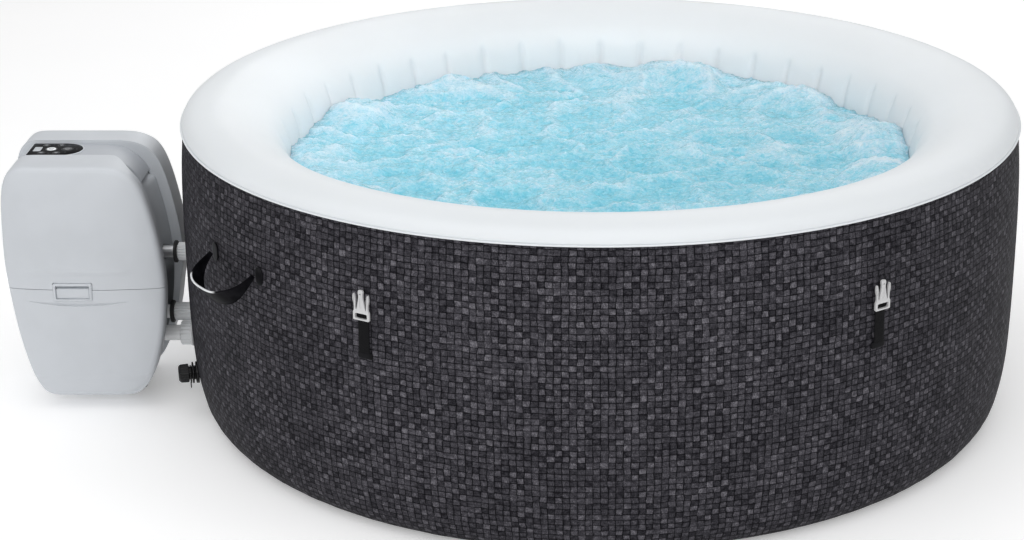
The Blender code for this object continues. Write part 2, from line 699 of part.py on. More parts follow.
def make_handle(name, azimuth):
    frame = wall_frame(azimuth, HANDLE_AXIS_RADIUS, HANDLE_Z)
    droop = math.radians(HANDLE_DROOP)
    reach = Vector((0, -math.sin(droop), math.cos(droop)))       # the way the loop hangs
    across = Vector((0, math.cos(droop), math.sin(droop)))       # the band's width
    shares = [math.sin(math.pi * i / HANDLE_SPANS) for i in range(HANDLE_SPANS + 1)]
    points = []
    for i, share in enumerate(shares):
        run = -math.cos(math.pi * i / HANDLE_SPANS)
        sideways = HANDLE_HALF * math.copysign(abs(run) ** 0.70, run)
        points.append(Vector((sideways, 0, 0)) + reach * (HANDLE_REACH * share ** 0.80))
    loops = []
    for i, (point, share) in enumerate(zip(points, shares)):
        ahead = (points[min(i + 1, HANDLE_SPANS)] - points[max(i - 1, 0)]).normalized()
        normal = ahead.cross(across).normalized()
        half_width = HANDLE_END_HALF + HANDLE_GROWTH * min(1.0, share * 1.35) ** 0.8
        loops.append([frame @ (point + across * wide * half_width
                               + normal * thick * HANDLE_HALF_THICK)
                      for wide, thick in HANDLE_SECTION])
    loft(name, loops, BLACK_VINYL)


# ------------------------------------------------------------------ lid straps and buckles
STRAP_WIDTH, STRAP_THICK = 0.025, 0.0025
STRAP_STANDOFF, BUCKLE_STANDOFF = 0.0048, 0.0066
BUCKLE_LOW, BUCKLE_THICK = 0.452, 0.0055
# (sideways, up) of half the buckle's outline
BUCKLE_HALF = [
    (0.018, 0), (0.018, 0.017), (0.0156, 0.0185), (0.0156, 0.031), (0.0172, 0.034),
    (0.0172, 0.049), (0.0158, 0.052), (0.0132, 0.0515), (0.0128, 0.036), (0.012, 0.0205),
    (0.009, 0.0205), (0.0052, 0.038), (0.0042, 0.050), (0.0042, 0.060)]
BUCKLE_SLOTS = [(0.0035, 0.0078), (0.0102, 0.0145)]     # low and high edge of each
SLOT_HALF_WIDTH = 0.0120


def make_lid_strap(number, azimuth):
    frame = wall_frame(azimuth, TUB_RADIUS + STRAP_STANDOFF, STRAP_LOW)
    box("lid_strap_%d" % number, (-STRAP_WIDTH / 2, 0.0, -STRAP_THICK / 2),
        (STRAP_WIDTH / 2, STRAP_HIGH - STRAP_LOW, STRAP_THICK / 2), BLACK_STRAP, frame=frame)


def make_lid_buckle(number, azimuth):
    frame = wall_frame(azimuth, TUB_RADIUS + BUCKLE_STANDOFF, BUCKLE_LOW)
    outline = BUCKLE_HALF + [(-x, y) for x, y in BUCKLE_HALF[::-1]]
    buckle = prism("lid_buckle_%d" % number, outline, 0.0, BUCKLE_THICK, BUCKLE_GREY,
                   frame=frame, smooth=False)
    slots = [box_cut((-SLOT_HALF_WIDTH, low, -0.004), (SLOT_HALF_WIDTH, high, 0.010), frame)
             for low, high in BUCKLE_SLOTS]
    cut(buckle, merged("buckle_slots_%d" % number, slots))


# ------------------------------------------------------------------ equipment unit: outline
# (x from the unit's middle, z) round the unit, seen from the front
OUTLINE_STATIONS = [
    (-0.110, 0.563), (-0.025, 0.563), (0.055, 0.563), (0.092, 0.554), (0.118, 0.536),
    (0.136, 0.500), (0.152, 0.440), (0.164, 0.370), (0.170, 0.300), (0.167, 0.235),
    (0.159, 0.170), (0.146, 0.110), (0.128, 0.066), (0.104, 0.038), (0.070, 0.030),
    (-0.010, 0.030), (-0.080, 0.031), (-0.104, 0.050), (-0.124, 0.100), (-0.146, 0.180),
    (-0.162, 0.270), (-0.170, 0.345), (-0.168, 0.430), (-0.160, 0.505), (-0.146, 0.545)]


def unit_outline(per=2):
    """Smooth closed curve through the stations, kept between the unit's bottom and top.
    Its points are flat vectors, so .y is the height."""
    points = [Vector(station) for station in OUTLINE_STATIONS]
    count, outline = len(points), []
    for i in range(count):
        controls = (points[i - 1], points[i], points[(i + 1) % count], points[(i + 2) % count])
        for k in range(per):
            point = catmull_rom(*controls, k / per)
            outline.append(Vector((point.x, min(max(point.y, UNIT_LOW_Z), UNIT_TOP_Z))))
    return outline


OUTLINE = unit_outline()


def inset(point, depth):
    """Outline point moved in by depth towards the middle of the unit."""
    return Vector((point.x * (1 - depth / UNIT_HALF_WIDTH),
                   UNIT_MID_Z + (point.y - UNIT_MID_Z) * (1 - depth / UNIT_HALF_HEIGHT)))


def unit_loop(y, depth):
    """The outline at y, inset by depth: a number, or a function of the point."""
    loop = []
    for point in OUTLINE:
        moved = inset(point, depth(point) if callable(depth) else depth)
        loop.append(Vector((UNIT_X + moved.x, y, moved.y)))
    return loop


# ------------------------------------------------------------------ unit covers and door
# (y, inset) of each cover's outside from the open edge out, and its inside back again
FRONT_OUTSIDE = [
    (FRONT_OPEN_Y, 0.0420), (FRONT_OPEN_Y, 0.0018), (-0.1048, 0.0), (-0.1810, 0.0),
    (-0.1875, 0.0022), (-0.1915, 0.0075), (-0.1955, 0.0220), (-0.2020, 0.0620),
    (-0.2070, 0.1150)]
FRONT_INSIDE = [
    (-0.2040, 0.1150), (-0.1988, 0.0600), (-0.1925, 0.0230), (-0.1865, 0.0068),
    (-0.1800, 0.0030), (-0.1060, 0.0030), (-0.1060, 0.0420)]
REAR_OUTSIDE = [
    (REAR_OPEN_Y, 0.0420), (REAR_OPEN_Y, 0.0018), (-0.0112, 0.0), (0.0600, 0.0),
    (0.0685, 0.0040), (0.0740, 0.0140), (0.0800, 0.0400), (0.0850, 0.1150)]
REAR_INSIDE = [
    (0.0820, 0.1150), (0.0772, 0.0405), (0.0705, 0.0150), (0.0660, 0.0070),
    (0.0590, 0.0030), (-0.0100, 0.0030), (-0.0100, 0.0420)]
COVER_CROWN = 0.0004      # bulge at the middle of a cover's face

SPLIT_Z = 0.285           # front cover above, access door below
SPLIT_HALF_GAP = 0.0005
LATCH_X, LATCH_HALF_WIDTH = -1.122, 0.042
LATCH_LEFT, LATCH_RIGHT = LATCH_X - LATCH_HALF_WIDTH, LATCH_X + LATCH_HALF_WIDTH
LATCH_LOW, LATCH_HIGH = 0.2605, 0.3005
LATCH_GAP = 0.0006
KNUCKLE_XS = (-1.160, -1.036)
KNUCKLE_RADIUS, KNUCKLE_HALF = 0.0075, 0.006


def make_cover(name, outside, inside):
    """One dished cover: outside skin, inside skin and the flange that joins them."""
    solid = bmesh.new()
    outer = [[solid.verts.new(point) for point in unit_loop(*step)] for step in outside]
    inner = [[solid.verts.new(point) for point in unit_loop(*step)] for step in inside]
    for rows in (outer, inner):
        for first, second in zip(rows[:-1], rows[1:]):
            join_rows(solid, first, second)
    join_rows(solid, inner[-1], outer[0])
    cap_row(solid, outer[-1], math.copysign(COVER_CROWN, outside[-1][0] - outside[0][0]))
    cap_row(solid, inner[0])
    return finish(solid, name, CASE_GREY)


def make_front_cover():
    cover = make_cover("pump_front_cover", FRONT_OUTSIDE, FRONT_INSIDE)
    cut(cover, box("below_split", (-1.5, -0.4, -0.1), (-0.7, 0.0, SPLIT_Z + SPLIT_HALF_GAP),
                   None))
    cut(cover, box("latch_notch", (LATCH_LEFT - LATCH_GAP, -0.25, 0.20),
                   (LATCH_RIGHT + LATCH_GAP, -0.19, LATCH_HIGH + LATCH_GAP), None))


def make_access_door():
    """Lower half of the front shell, with a latch bezel on top and hinge knuckles below."""
    door = make_cover("pump_access_door", FRONT_OUTSIDE, FRONT_INSIDE)
    cut(door, box("above_split", (-1.5, -0.4, SPLIT_Z - SPLIT_HALF_GAP), (-0.7, 0.0, 0.8),
                  None))
    unite(door, box("latch_bezel_tool", (LATCH_LEFT, -0.2118, LATCH_LOW),
                    (LATCH_RIGHT, -0.1960, LATCH_HIGH), None, bevel=0.0022))
    cut(door, box("latch_pocket", (LATCH_LEFT + 0.0065, -0.23, LATCH_LOW + 0.0055),
                  (LATCH_RIGHT - 0.0065, -0.18, LATCH_HIGH - 0.0050), None))
    for k, x in enumerate(KNUCKLE_XS):
        unite(door, cylinder("door_knuckle_%d" % k, KNUCKLE_RADIUS, -KNUCKLE_HALF, KNUCKLE_HALF,
                             None, along_x(x, *HINGE), steps=16))
    cut(door, cylinder("knuckle_bore", HINGE_BORE, -1.18, -1.015, None, along_x(0, *HINGE),
                       steps=14))


def make_door_fittings():
    cylinder("door_hinge_rod", 0.0025, -1.1930, -1.0070, STEEL, along_x(0, *HINGE), steps=14)
    box("latch_slider", (LATCH_LEFT + 0.0072, -0.2092, LATCH_LOW + 0.0062),
        (LATCH_RIGHT - 0.0072, -0.2030, LATCH_HIGH - 0.0100), CASE_GREY, bevel=0.0012)


# ------------------------------------------------------------------ unit core and deck
CORE_FRONT_Y, CORE_REAR_Y = FRONT_OPEN_Y + 0.0006, REAR_OPEN_Y - 0.0006
DECK_SIDE_GAP = 0.0002    # deck edges sit this far inside the core's
DECK_THICK = 0.005
CORE_THICK = 0.003
CORE_HOLE_GAP = 0.0008
INLET_CORE_HOLE = 0.0163  # radius


def ease(value, low, high):
    """Smooth step from 0 at low to 1 at high."""
    t = max(0.0, min(1.0, (value - low) / (high - low)))
    return t * t * (3 - 2 * t)


def deck_depth(point):
    """The deck is nearly flush over the keys and sinks towards the tub side."""
    return 0.0040 + 0.0130 * ease(point.x, 0.020, 0.125)


def core_depth(point):
    """Inset of the core: deep on the tub side, where the ports are, and shallow opposite."""
    if point.x > 0:
        share = ease(0.500 - point.y, 0.0, 0.05) * ease(point.y, 0.065, 0.115)
        return max(0.0140 + 0.020 * share, deck_depth(point) + 0.0090)
    share = ease(-point.x, 0.06, 0.10) * ease(0.516 - point.y, 0.0, 0.02)
    return 0.0140 - 0.0110 * share


def core_inner_depth(point):
    return core_depth(point) + CORE_THICK


def make_core_frame():
    core = loft("pump_core_frame",
                [unit_loop(CORE_FRONT_Y, core_depth), unit_loop(CORE_REAR_Y, core_depth),
                 unit_loop(CORE_REAR_Y, core_inner_depth),
                 unit_loop(CORE_FRONT_Y, core_inner_depth)], DARK_GREY, closed=True)

    def port_hole(port, radius):
        return round_cut(radius, -1.02, -0.90, along_x(0, *port), steps=18)

    cut(core, merged("core_holes", [port_hole(OUTLET, PIPE_RADIUS + CORE_HOLE_GAP),
                                    port_hole(AIR_PORT, AIR_RADIUS + CORE_HOLE_GAP)]))
    cut(core, merged("core_hole_low", [port_hole(INLET, INLET_CORE_HOLE)]))


def make_top_deck():
    """Light deck over the top of the core, from the -X shoulder to the +X shoulder."""
    first = min(i for i, point in enumerate(OUTLINE)
                if i > len(OUTLINE) // 2 and point.x < 0 and point.y > 0.520)
    last = max(i for i, point in enumerate(OUTLINE) if point.x >= 0 and point.y > 0.480)
    front, rear = CORE_FRONT_Y + DECK_SIDE_GAP, CORE_REAR_Y - DECK_SIDE_GAP
    loops = []
    for point in OUTLINE[first:] + OUTLINE[:last + 1]:
        top = inset(point, deck_depth(point))
        under = inset(point, deck_depth(point) + DECK_THICK)
        loops.append([Vector((UNIT_X + edge.x, y, edge.y))
                      for edge, y in ((top, front), (top, rear), (under, rear), (under, front))])
    deck = loft("pump_top_deck", loops, DECK_GREY)
    cut(deck, box("deck_window", (-1.2180, PANEL_Y - 0.0350, 0.50),
                  (-1.1280, PANEL_Y + 0.0350, 0.60), None))


# ------------------------------------------------------------------ control panel
PANEL_LEFT, PANEL_ROUND_X = -1.2250, -1.154     # square end, centre of the round end
PANEL_HALF = 0.0415       # half the panel's depth, and the radius of its round end
KEY_GAP = 0.0004
KEY_LOW, KEY_TOP, KEY_CHAMFER = DECK_TOP - 0.0010, DECK_TOP + 0.0036, (0.0006, 0.0005)
KEY_ROW = 0.0265          # from the middle row to the front and rear rows
DISPLAY_X, DISPLAY_HALF_X, DISPLAY_HALF_Y = -1.2090, 0.0085, 0.0150
# name: (x, y from the panel's middle, radius, material)
BUTTONS = {"button_power": (-1.1795, 0.0, 0.0100, KEY_WHITE),
           "button_bubbles": (-1.1450, 0.0, 0.0100, KEY_BLACK),
           "button_heat": (-1.1955, -KEY_ROW, 0.0055, KEY_BLACK),
           "button_filter": (-1.1635, -KEY_ROW, 0.0055, KEY_BLACK),
           "button_up": (-1.1955, KEY_ROW, 0.0055, KEY_BLACK),
           "button_down": (-1.1635, KEY_ROW, 0.0055, KEY_BLACK)}


def make_control_panel():
    front, rear = PANEL_Y - PANEL_HALF, PANEL_Y + PANEL_HALF
    outline = [(PANEL_LEFT, front), (PANEL_ROUND_X, front)]
    for k in range(1, 12):
        angle = -math.pi / 2 + math.pi * k / 12
        outline.append((PANEL_ROUND_X + PANEL_HALF * math.cos(angle),
                        PANEL_Y + PANEL_HALF * math.sin(angle)))
    outline += [(PANEL_ROUND_X, rear), (PANEL_LEFT, rear)]
    panel = prism("control_panel", outline, DECK_TOP + 0.0004, DECK_TOP + 0.0024, GLOSS_BLACK)
    holes = [round_cut(radius + KEY_GAP, 0.50, 0.60,
                       Matrix.Translation((x, PANEL_Y + offset, 0)), steps=18)
             for x, offset, radius, _ in BUTTONS.values()]
    holes.append(box_cut((DISPLAY_X - DISPLAY_HALF_X, PANEL_Y - DISPLAY_HALF_Y, 0.50),
                         (DISPLAY_X + DISPLAY_HALF_X, PANEL_Y + DISPLAY_HALF_Y, 0.60)))
    cut(panel, merged("panel_holes", holes))


def make_buttons():
    inward, down = KEY_CHAMFER
    for name, (x, offset, radius, mat) in BUTTONS.items():
        profile = [(0, KEY_LOW), (radius, KEY_LOW), (radius, KEY_TOP - down),
                   (radius - inward, KEY_TOP), (0, KEY_TOP)]
        turned(name, profile, mat, Matrix.Translation((x, PANEL_Y + offset, 0)), steps=18)


def make_display():
    half_x, half_y = DISPLAY_HALF_X - KEY_GAP, DISPLAY_HALF_Y - KEY_GAP
    box("display_window", (DISPLAY_X - half_x, PANEL_Y - half_y, DECK_TOP - 0.0008),
        (DISPLAY_X + half_x, PANEL_Y + half_y, DECK_TOP + 0.0026), KEY_WHITE)


def make_control_board():
    box("control_board", (-1.2040, PANEL_Y - 0.0330, DECK_TOP - 0.0085),
        (-1.1300, PANEL_Y + 0.0330, DECK_TOP - 0.0070), BOARD_GREEN)


# ------------------------------------------------------------------ base
EAR_XS, EAR_HALF = (-1.186, -1.014), 0.004      # ears that carry the hinge rod


def make_base_tray():
    tray = box("pump_base_tray", (-1.190, -0.070, 0.0), (-1.010, 0.055, 0.0294), RUBBER)
    unite(tray, box("tray_boss", (-1.150, -0.069, 0.010), (-1.046, -0.030, 0.0425), None))
    for k, x in enumerate(EAR_XS):
        unite(tray, box("tray_ear_%d" % k, (x - EAR_HALF, -0.1022, 0.0205),
                        (x + EAR_HALF, -0.060, 0.0385), None))
    cut(tray, cylinder("ear_bore", HINGE_BORE, -1.20, -1.00, None, along_x(0, *HINGE),
                       steps=14))


# ------------------------------------------------------------------ water inside the unit
PUMP_X, PUMP_Y = -1.085, -0.060
PUMP_FRAME = Matrix.Translation((PUMP_X, PUMP_Y, 0))
# Suction pipe stations: straight from the port, bend, straight down to the pump
SUCTION_START = [(-0.9475, *INLET), (-0.966, *INLET)]
SUCTION_BEND = [(-0.985, *INLET), (-1.045, -0.053, INLET[1]), (-1.077, -0.0585, 0.166),
                (PUMP_X, PUMP_Y, 0.150)]
SUCTION_END = (PUMP_X, PUMP_Y, 0.1430)
# (radius, z) profiles about the pump's axis
PUMP_CASE = [
    (0.0130, 0.1424), (0.0190, 0.1424), (0.0190, 0.1320), (0.0400, 0.1290), (0.0400, 0.0930),
    (0.0060, 0.0930), (0.0060, 0.0960), (0.0370, 0.0960), (0.0370, 0.1265), (0.0130, 0.1290)]
PUMP_MOTOR = [(0.0052, 0.0500), (0.0320, 0.0500), (0.0330, 0.0530), (0.0330, 0.0880),
              (0.0290, 0.0925), (0.0052, 0.0925)]
IMPELLER = [
    (0, 0.0520), (0.0040, 0.0520), (0.0040, 0.0980), (0.0340, 0.0980), (0.0340, 0.1000),
    (0.0070, 0.1010), (0.0050, 0.1150), (0, 0.1150)]
HEATER_X = -1.010
HEATER = [(0, 0.2250), (0.0120, 0.2250), (0.0240, 0.2320), (0.0260, 0.2400),
          (0.0260, 0.4300), (0.0200, 0.4400), (0, 0.4400)]
BLADE_HALF = 0.0012       # half the thickness of impeller and fan blades


def vectors(stations):
    return [Vector(station) for station in stations]


def make_suction_pipe():
    path = vectors(SUCTION_START) + smooth_path(SUCTION_BEND, 2) + vectors([SUCTION_END])
    pipe("suction_pipe", path, 0.0155, 0.0128, PIPE_GREY, sides=12)


def make_pump():
    turned("circulation_pump", PUMP_CASE, DARK_GREY, PUMP_FRAME, steps=22, closed=True)
    turned("pump_motor", PUMP_MOTOR, MOTOR_BLACK, PUMP_FRAME, steps=22, closed=True)


def make_impeller():
    impeller = turned("pump_impeller", IMPELLER, PIPE_GREY, PUMP_FRAME)
    for k in range(6):
        unite(impeller, box("impeller_blade_%d" % k, (0.003, -BLADE_HALF, 0.0992),
                            (0.032, BLADE_HALF, 0.1170), None,
                            frame=rotated(PUMP_FRAME, 60 * k)))


def make_heater():
    """Upright tube with a bored stub towards the outlet port."""
    heater = turned("heater_tube", HEATER, STEEL,
                    Matrix.Translation((HEATER_X, OUTLET[0], 0)))
    frame = along_x(0, *OUTLET)
    unite(heater, cylinder("outlet_stub_tool", PIPE_RADIUS - 0.0005, -1.005, -0.9295, None,
                           frame))
    cut(heater, cylinder("outlet_stub_bore", 0.0128, -1.000, -0.90, None, frame))


# ------------------------------------------------------------------ air inside the unit
# Blower axis along +Y; profiles are (radius, y)
BLOWER_FRAME = (Matrix.Translation((-1.165, 0, 0.410))
                @ Matrix.Rotation(math.radians(-90), 4, "X"))
BLOWER_CASE = [
    (0.0180, -0.0980), (0.0600, -0.0980), (0.0600, -0.0280), (0.0070, -0.0280),
    (0.0070, -0.0310), (0.0570, -0.0310), (0.0570, -0.0950), (0.0180, -0.0950)]
BLOWER_FAN = [
    (0, -0.0210), (0.0045, -0.0210), (0.0045, -0.0360), (0.0500, -0.0360),
    (0.0500, -0.0380), (0.0100, -0.0390), (0.0080, -0.0680), (0, -0.0680)]
# Air pipe stations: straight from the port, up behind the core, forward to the blower
AIR_PIPE_START = [(-0.9120, *AIR_PORT), (-0.9500, *AIR_PORT)]
AIR_PIPE_BEND = [
    (-0.9900, *AIR_PORT), (-1.0080, -0.060, AIR_PORT[1] + 0.001), (-1.018, -0.037, 0.140),
    (-1.025, -0.012, 0.160), (-1.060, 0.006, 0.222), (-1.100, 0.012, 0.300),
    (-1.128, 0.026, 0.370), (-1.135, 0.014, 0.398)]
AIR_PIPE_END = [(-1.135, -0.0100, 0.400), (-1.135, -0.0268, 0.400)]


def make_blower():
    turned("air_blower", BLOWER_CASE, MOTOR_BLACK, BLOWER_FRAME, steps=26, closed=True)
    fan = turned("blower_fan", BLOWER_FAN, PIPE_GREY, BLOWER_FRAME)
    for k in range(8):
        unite(fan, box("fan_blade_%d" % k, (0.030, -BLADE_HALF, -0.0830),
                       (0.0495, BLADE_HALF, -0.0370), None, frame=rotated(BLOWER_FRAME, 45 * k)))


def make_air_pipe():
    path = vectors(AIR_PIPE_START) + smooth_path(AIR_PIPE_BEND, 2) + vectors(AIR_PIPE_END)
    pipe("air_port_pipe", path, AIR_RADIUS - 0.0005, AIR_BORE, PIPE_GREY, sides=12)


# ------------------------------------------------------------------ mains cable and plug
CABLE_RADIUS = 0.0045
CABLE_START = (-1.100, 0.0850, 0.120)           # at the rear cover
# The curve's own first point is replaced by CABLE_START
CABLE_STATIONS = [
    (-1.100, 0.0860, 0.120), (-1.100, 0.105, 0.117), (-1.104, 0.138, 0.060),
    (-1.115, 0.172, 0.010), (-1.150, 0.215, 0.0055), (-1.195, 0.270, 0.0055),
    (-1.185, 0.335, 0.0055), (-1.120, 0.350, 0.0055), (-1.065, 0.310, 0.0055),
    (-1.030, 0.340, 0.0055), (-1.040, 0.400, 0.0100), (-1.070, 0.440, 0.0170)]
PLUG_FRAME = rotated(Matrix.Translation((-1.0796, 0.4528, 0.0190)), 37)
PIN_OFFSET, PIN_RADIUS = 0.0095, 0.0024


def make_power_cable():
    path = [Vector(CABLE_START)] + smooth_path(CABLE_STATIONS, 3)[1:]
    loft("power_cable", circle_loops(path, CABLE_RADIUS, 8), RUBBER)


def make_power_plug():
    plug = box("power_plug", (-0.022, -0.0145, -0.0185), (0.022, 0.0265, 0.0185), RUBBER,
               bevel=0.005, frame=PLUG_FRAME)
    for k, x in enumerate((-PIN_OFFSET, PIN_OFFSET)):
        frame = (PLUG_FRAME @ Matrix.Translation((x, 0, 0))
                 @ Matrix.Rotation(math.radians(-90), 4, "X"))
        unite(plug, cylinder("plug_pin_%d" % k, PIN_RADIUS, 0.020, 0.0455, None, frame,
                             steps=10))


# ------------------------------------------------------------------ assembly
def build_tub():
    make_outer_wall()
    make_top_rim()
    make_inner_wall()
    make_floor_liner()
    make_brace_bands()
    make_air_jet_ring()
    make_drain_valve()
    make_inflation_valve()
    for name, azimuth in HANDLE_AZIMUTHS.items():
        make_handle(name, azimuth)
    for number, azimuth in enumerate(STRAP_AZIMUTHS, 1):
        make_lid_strap(number, azimuth)
        make_lid_buckle(number, azimuth)


def build_connections():
    make_water_fittings()
    make_air_fitting()
    make_outlet_screen()
    make_filter_housing()
    make_filter_cartridge()
    make_filter_cap()
    make_union_nuts()
    make_seals()


def build_unit():
    make_front_cover()
    make_access_door()
    make_cover("pump_rear_cover", REAR_OUTSIDE, REAR_INSIDE)
    make_door_fittings()
    make_core_frame()
    make_top_deck()
    make_control_panel()
    make_buttons()
    make_display()
    make_control_board()
    make_base_tray()
    make_suction_pipe()
    make_pump()
    make_impeller()
    make_heater()
    make_blower()
    make_air_pipe()
    make_power_cable()
    make_power_plug()


build_tub()
build_connections()
build_unit()
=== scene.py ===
"""Looks of an inflatable hot tub and its equipment unit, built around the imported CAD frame.

Metres, +Z up. The tub stands on z = 0 round the Z axis. The equipment unit stands beside it on
the -X side, its front cover facing -Y. Azimuths are degrees from +X towards +Y.
"""
import json
import math

import bmesh
import bpy
import numpy as np
from mathutils import Matrix, Vector, noise
from mathutils.bvhtree import BVHTree

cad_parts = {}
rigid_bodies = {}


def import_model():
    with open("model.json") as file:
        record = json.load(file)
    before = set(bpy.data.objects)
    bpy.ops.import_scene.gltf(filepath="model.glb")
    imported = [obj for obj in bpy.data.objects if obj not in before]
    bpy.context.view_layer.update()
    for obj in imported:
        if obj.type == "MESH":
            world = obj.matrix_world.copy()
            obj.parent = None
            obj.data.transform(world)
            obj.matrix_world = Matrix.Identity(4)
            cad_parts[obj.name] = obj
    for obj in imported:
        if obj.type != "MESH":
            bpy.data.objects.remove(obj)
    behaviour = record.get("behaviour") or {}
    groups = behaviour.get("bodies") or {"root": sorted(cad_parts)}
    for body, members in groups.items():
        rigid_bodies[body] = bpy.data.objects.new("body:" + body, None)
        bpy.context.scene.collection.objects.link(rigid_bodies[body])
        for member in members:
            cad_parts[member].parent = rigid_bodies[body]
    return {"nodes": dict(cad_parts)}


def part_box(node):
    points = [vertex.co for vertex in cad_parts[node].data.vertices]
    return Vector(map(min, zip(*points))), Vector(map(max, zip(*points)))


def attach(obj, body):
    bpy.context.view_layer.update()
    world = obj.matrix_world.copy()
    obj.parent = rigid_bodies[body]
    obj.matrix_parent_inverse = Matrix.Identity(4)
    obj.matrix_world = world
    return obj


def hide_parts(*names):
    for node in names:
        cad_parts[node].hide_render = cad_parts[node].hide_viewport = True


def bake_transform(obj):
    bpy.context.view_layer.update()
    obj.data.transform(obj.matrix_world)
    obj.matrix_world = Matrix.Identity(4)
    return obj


for old_object in list(bpy.data.objects):
    bpy.data.objects.remove(old_object, do_unlink=True)

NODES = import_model()["nodes"]
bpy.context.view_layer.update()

# ---------------------------------------------------------------- driving sizes of the tub
wall_low, wall_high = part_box("outer_wall")
R_WALL = (wall_high.y - wall_low.y) / 2
SEAM_LIFT = 0.011            # air pressure: the seam rides up a little
SEAM_Z = wall_high.z + SEAM_LIFT
TOP_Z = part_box("top_rim")[1].z
BRACES = 44                  # braces round the ring, one air chamber between each pair
PITCH = 2 * math.pi / BRACES
FILM = 0.002                 # thickness of the vinyl skins
WALL_COLUMNS, WELL_COLUMNS = 528, 704


# ---------------------------------------------------------------- shader graph helper
class Signal:
    """Output of a shader node; arithmetic on it adds Math nodes."""

    def __init__(self, net, socket):
        self.net = net
        self.socket = socket

    def __add__(self, other):
        return self.net.math("ADD", self, other)

    def __radd__(self, other):
        return self.net.math("ADD", other, self)

    def __sub__(self, other):
        return self.net.math("SUBTRACT", self, other)

    def __rsub__(self, other):
        return self.net.math("SUBTRACT", other, self)

    def __mul__(self, other):
        return self.net.math("MULTIPLY", self, other)

    def __truediv__(self, other):
        return self.net.math("DIVIDE", self, other)

    def __pow__(self, other):
        return self.net.math("POWER", self, other)


class Net:
    """Node tree of one material, ending in a Principled BSDF."""

    def __init__(self, name):
        self.mat = bpy.data.materials.new(name)
        self.mat.use_nodes = True
        self.tree = self.mat.node_tree
        self.tree.nodes.clear()
        output = self.tree.nodes.new("ShaderNodeOutputMaterial")
        self.bsdf = self.tree.nodes.new("ShaderNodeBsdfPrincipled")
        self.tree.links.new(self.bsdf.outputs[0], output.inputs[0])

    def put(self, socket, value):
        """Links a signal to a socket, or sets its value; three-part colours get an alpha of 1."""
        if isinstance(value, Signal):
            self.tree.links.new(value.socket, socket)
            return
        if socket.type == "RGBA" and len(value) == 3:
            value = (*value, 1.0)
        socket.default_value = value

    def node(self, kind, inputs, **props):
        node = self.tree.nodes.new("ShaderNode" + kind)
        for key, value in props.items():
            setattr(node, key, value)
        for key, value in inputs.items():
            self.put(node.inputs[key], value)
        return node

    def add(self, kind, inputs, out=0, **props):
        """New node, returned as one of its outputs."""
        return Signal(self, self.node(kind, inputs, **props).outputs[out])

    def split(self, kind, inputs, **props):
        """New node, returned as the list of all its outputs."""
        return [Signal(self, s) for s in self.node(kind, inputs, **props).outputs]

    def math(self, operation, *values):
        return self.add("Math", dict(enumerate(values)), operation=operation)

    def mix(self, share, first, second):
        return self.add("Mix", {0: share, 6: first, 7: second}, out=2, data_type="RGBA",
                        clamp_factor=True)

    def noise(self, vec, scale, detail=3, rough=0.5, distort=0, out="Fac"):
        return self.add("TexNoise", {"Vector": vec, "Scale": scale, "Detail": detail,
                                     "Roughness": rough, "Distortion": distort}, out=out)

    def voronoi(self, vec, scale, feature="F1", random=1):
        return self.add("TexVoronoi", {"Vector": vec, "Scale": scale, "Randomness": random},
                        out="Distance", feature=feature)

    def ramp(self, value, stops):
        node = self.node("ValToRGB", {0: value})
        elements = node.color_ramp.elements
        while len(elements) < len(stops):
            elements.new(0.5)
        for element, (position, colour) in zip(elements, stops):
            element.position = position
            element.color = (*colour, 1.0)
        return Signal(self, node.outputs[0])

    def smooth(self, value, lo, hi, start=0, end=1):
        """Eases from start to end while value goes from lo to hi."""
        return self.add("MapRange", dict(enumerate((value, lo, hi, start, end))),
                        interpolation_type="SMOOTHSTEP")

    def position(self):
        return self.add("TexCoord", {}, out="Object")

    def uv(self):
        return self.add("TexCoord", {}, out="UV")

    def attribute(self, name):
        return self.add("Attribute", {}, out="Fac", attribute_name=name)

    def stretch(self, vec, scale):
        return self.add("Mapping", {0: vec, "Scale": scale})

    def bump(self, height, strength, distance, below=None):
        inputs = {"Strength": strength, "Distance": distance, "Height": height}
        if below is not None:
            inputs["Normal"] = below
        return self.add("Bump", inputs)

    def finish(self, **inputs):
        """Fills the Principled inputs (underscores stand for spaces); returns the material."""
        for key, value in inputs.items():
            self.put(self.bsdf.inputs[key.replace("_", " ")], value)
        return self.mat


def srgb(*channels):
    """sRGB 0-255 to linear."""
    return tuple(((c / 255 + 0.055) / 1.055) ** 2.4 if c / 255 > 0.04045 else c / 255 / 12.92
                 for c in channels)


# ---------------------------------------------------------------- materials
def moulded(name, base, rough=0.42, grain=0.05, tint=0.05, coat=0.0, grain_scale=900, wear=0.25):
    """Moulded plastic: fine grain, faint flow mottling (tint), edges polished paler (wear)."""
    net = Net(name)
    pos = net.position()
    fine = net.noise(pos, scale=grain_scale, detail=2, rough=0.6)
    slow = net.noise(pos, scale=7, rough=0.55)
    edge = net.smooth(net.add("NewGeometry", {}, out="Pointiness"), lo=0.515, hi=0.60)
    dark = tuple(c * (1 - tint) for c in base)
    pale = tuple(min(1.0, c * (1 + tint) + 0.004) for c in base)
    worn = tuple(min(1.0, c * 1.25 + 0.03) for c in base)
    colour = net.mix(net.smooth(slow, lo=0.35, hi=0.65), dark, pale)
    colour = net.mix(edge * wear, colour, worn)
    return net.finish(Base_Color=colour,
                      Roughness=rough - 0.05 + net.noise(pos, scale=35, detail=4, rough=0.6) * 0.10,
                      Normal=net.bump(fine, strength=grain, distance=0.0004),
                      Coat_Weight=coat, Coat_Roughness=0.15)


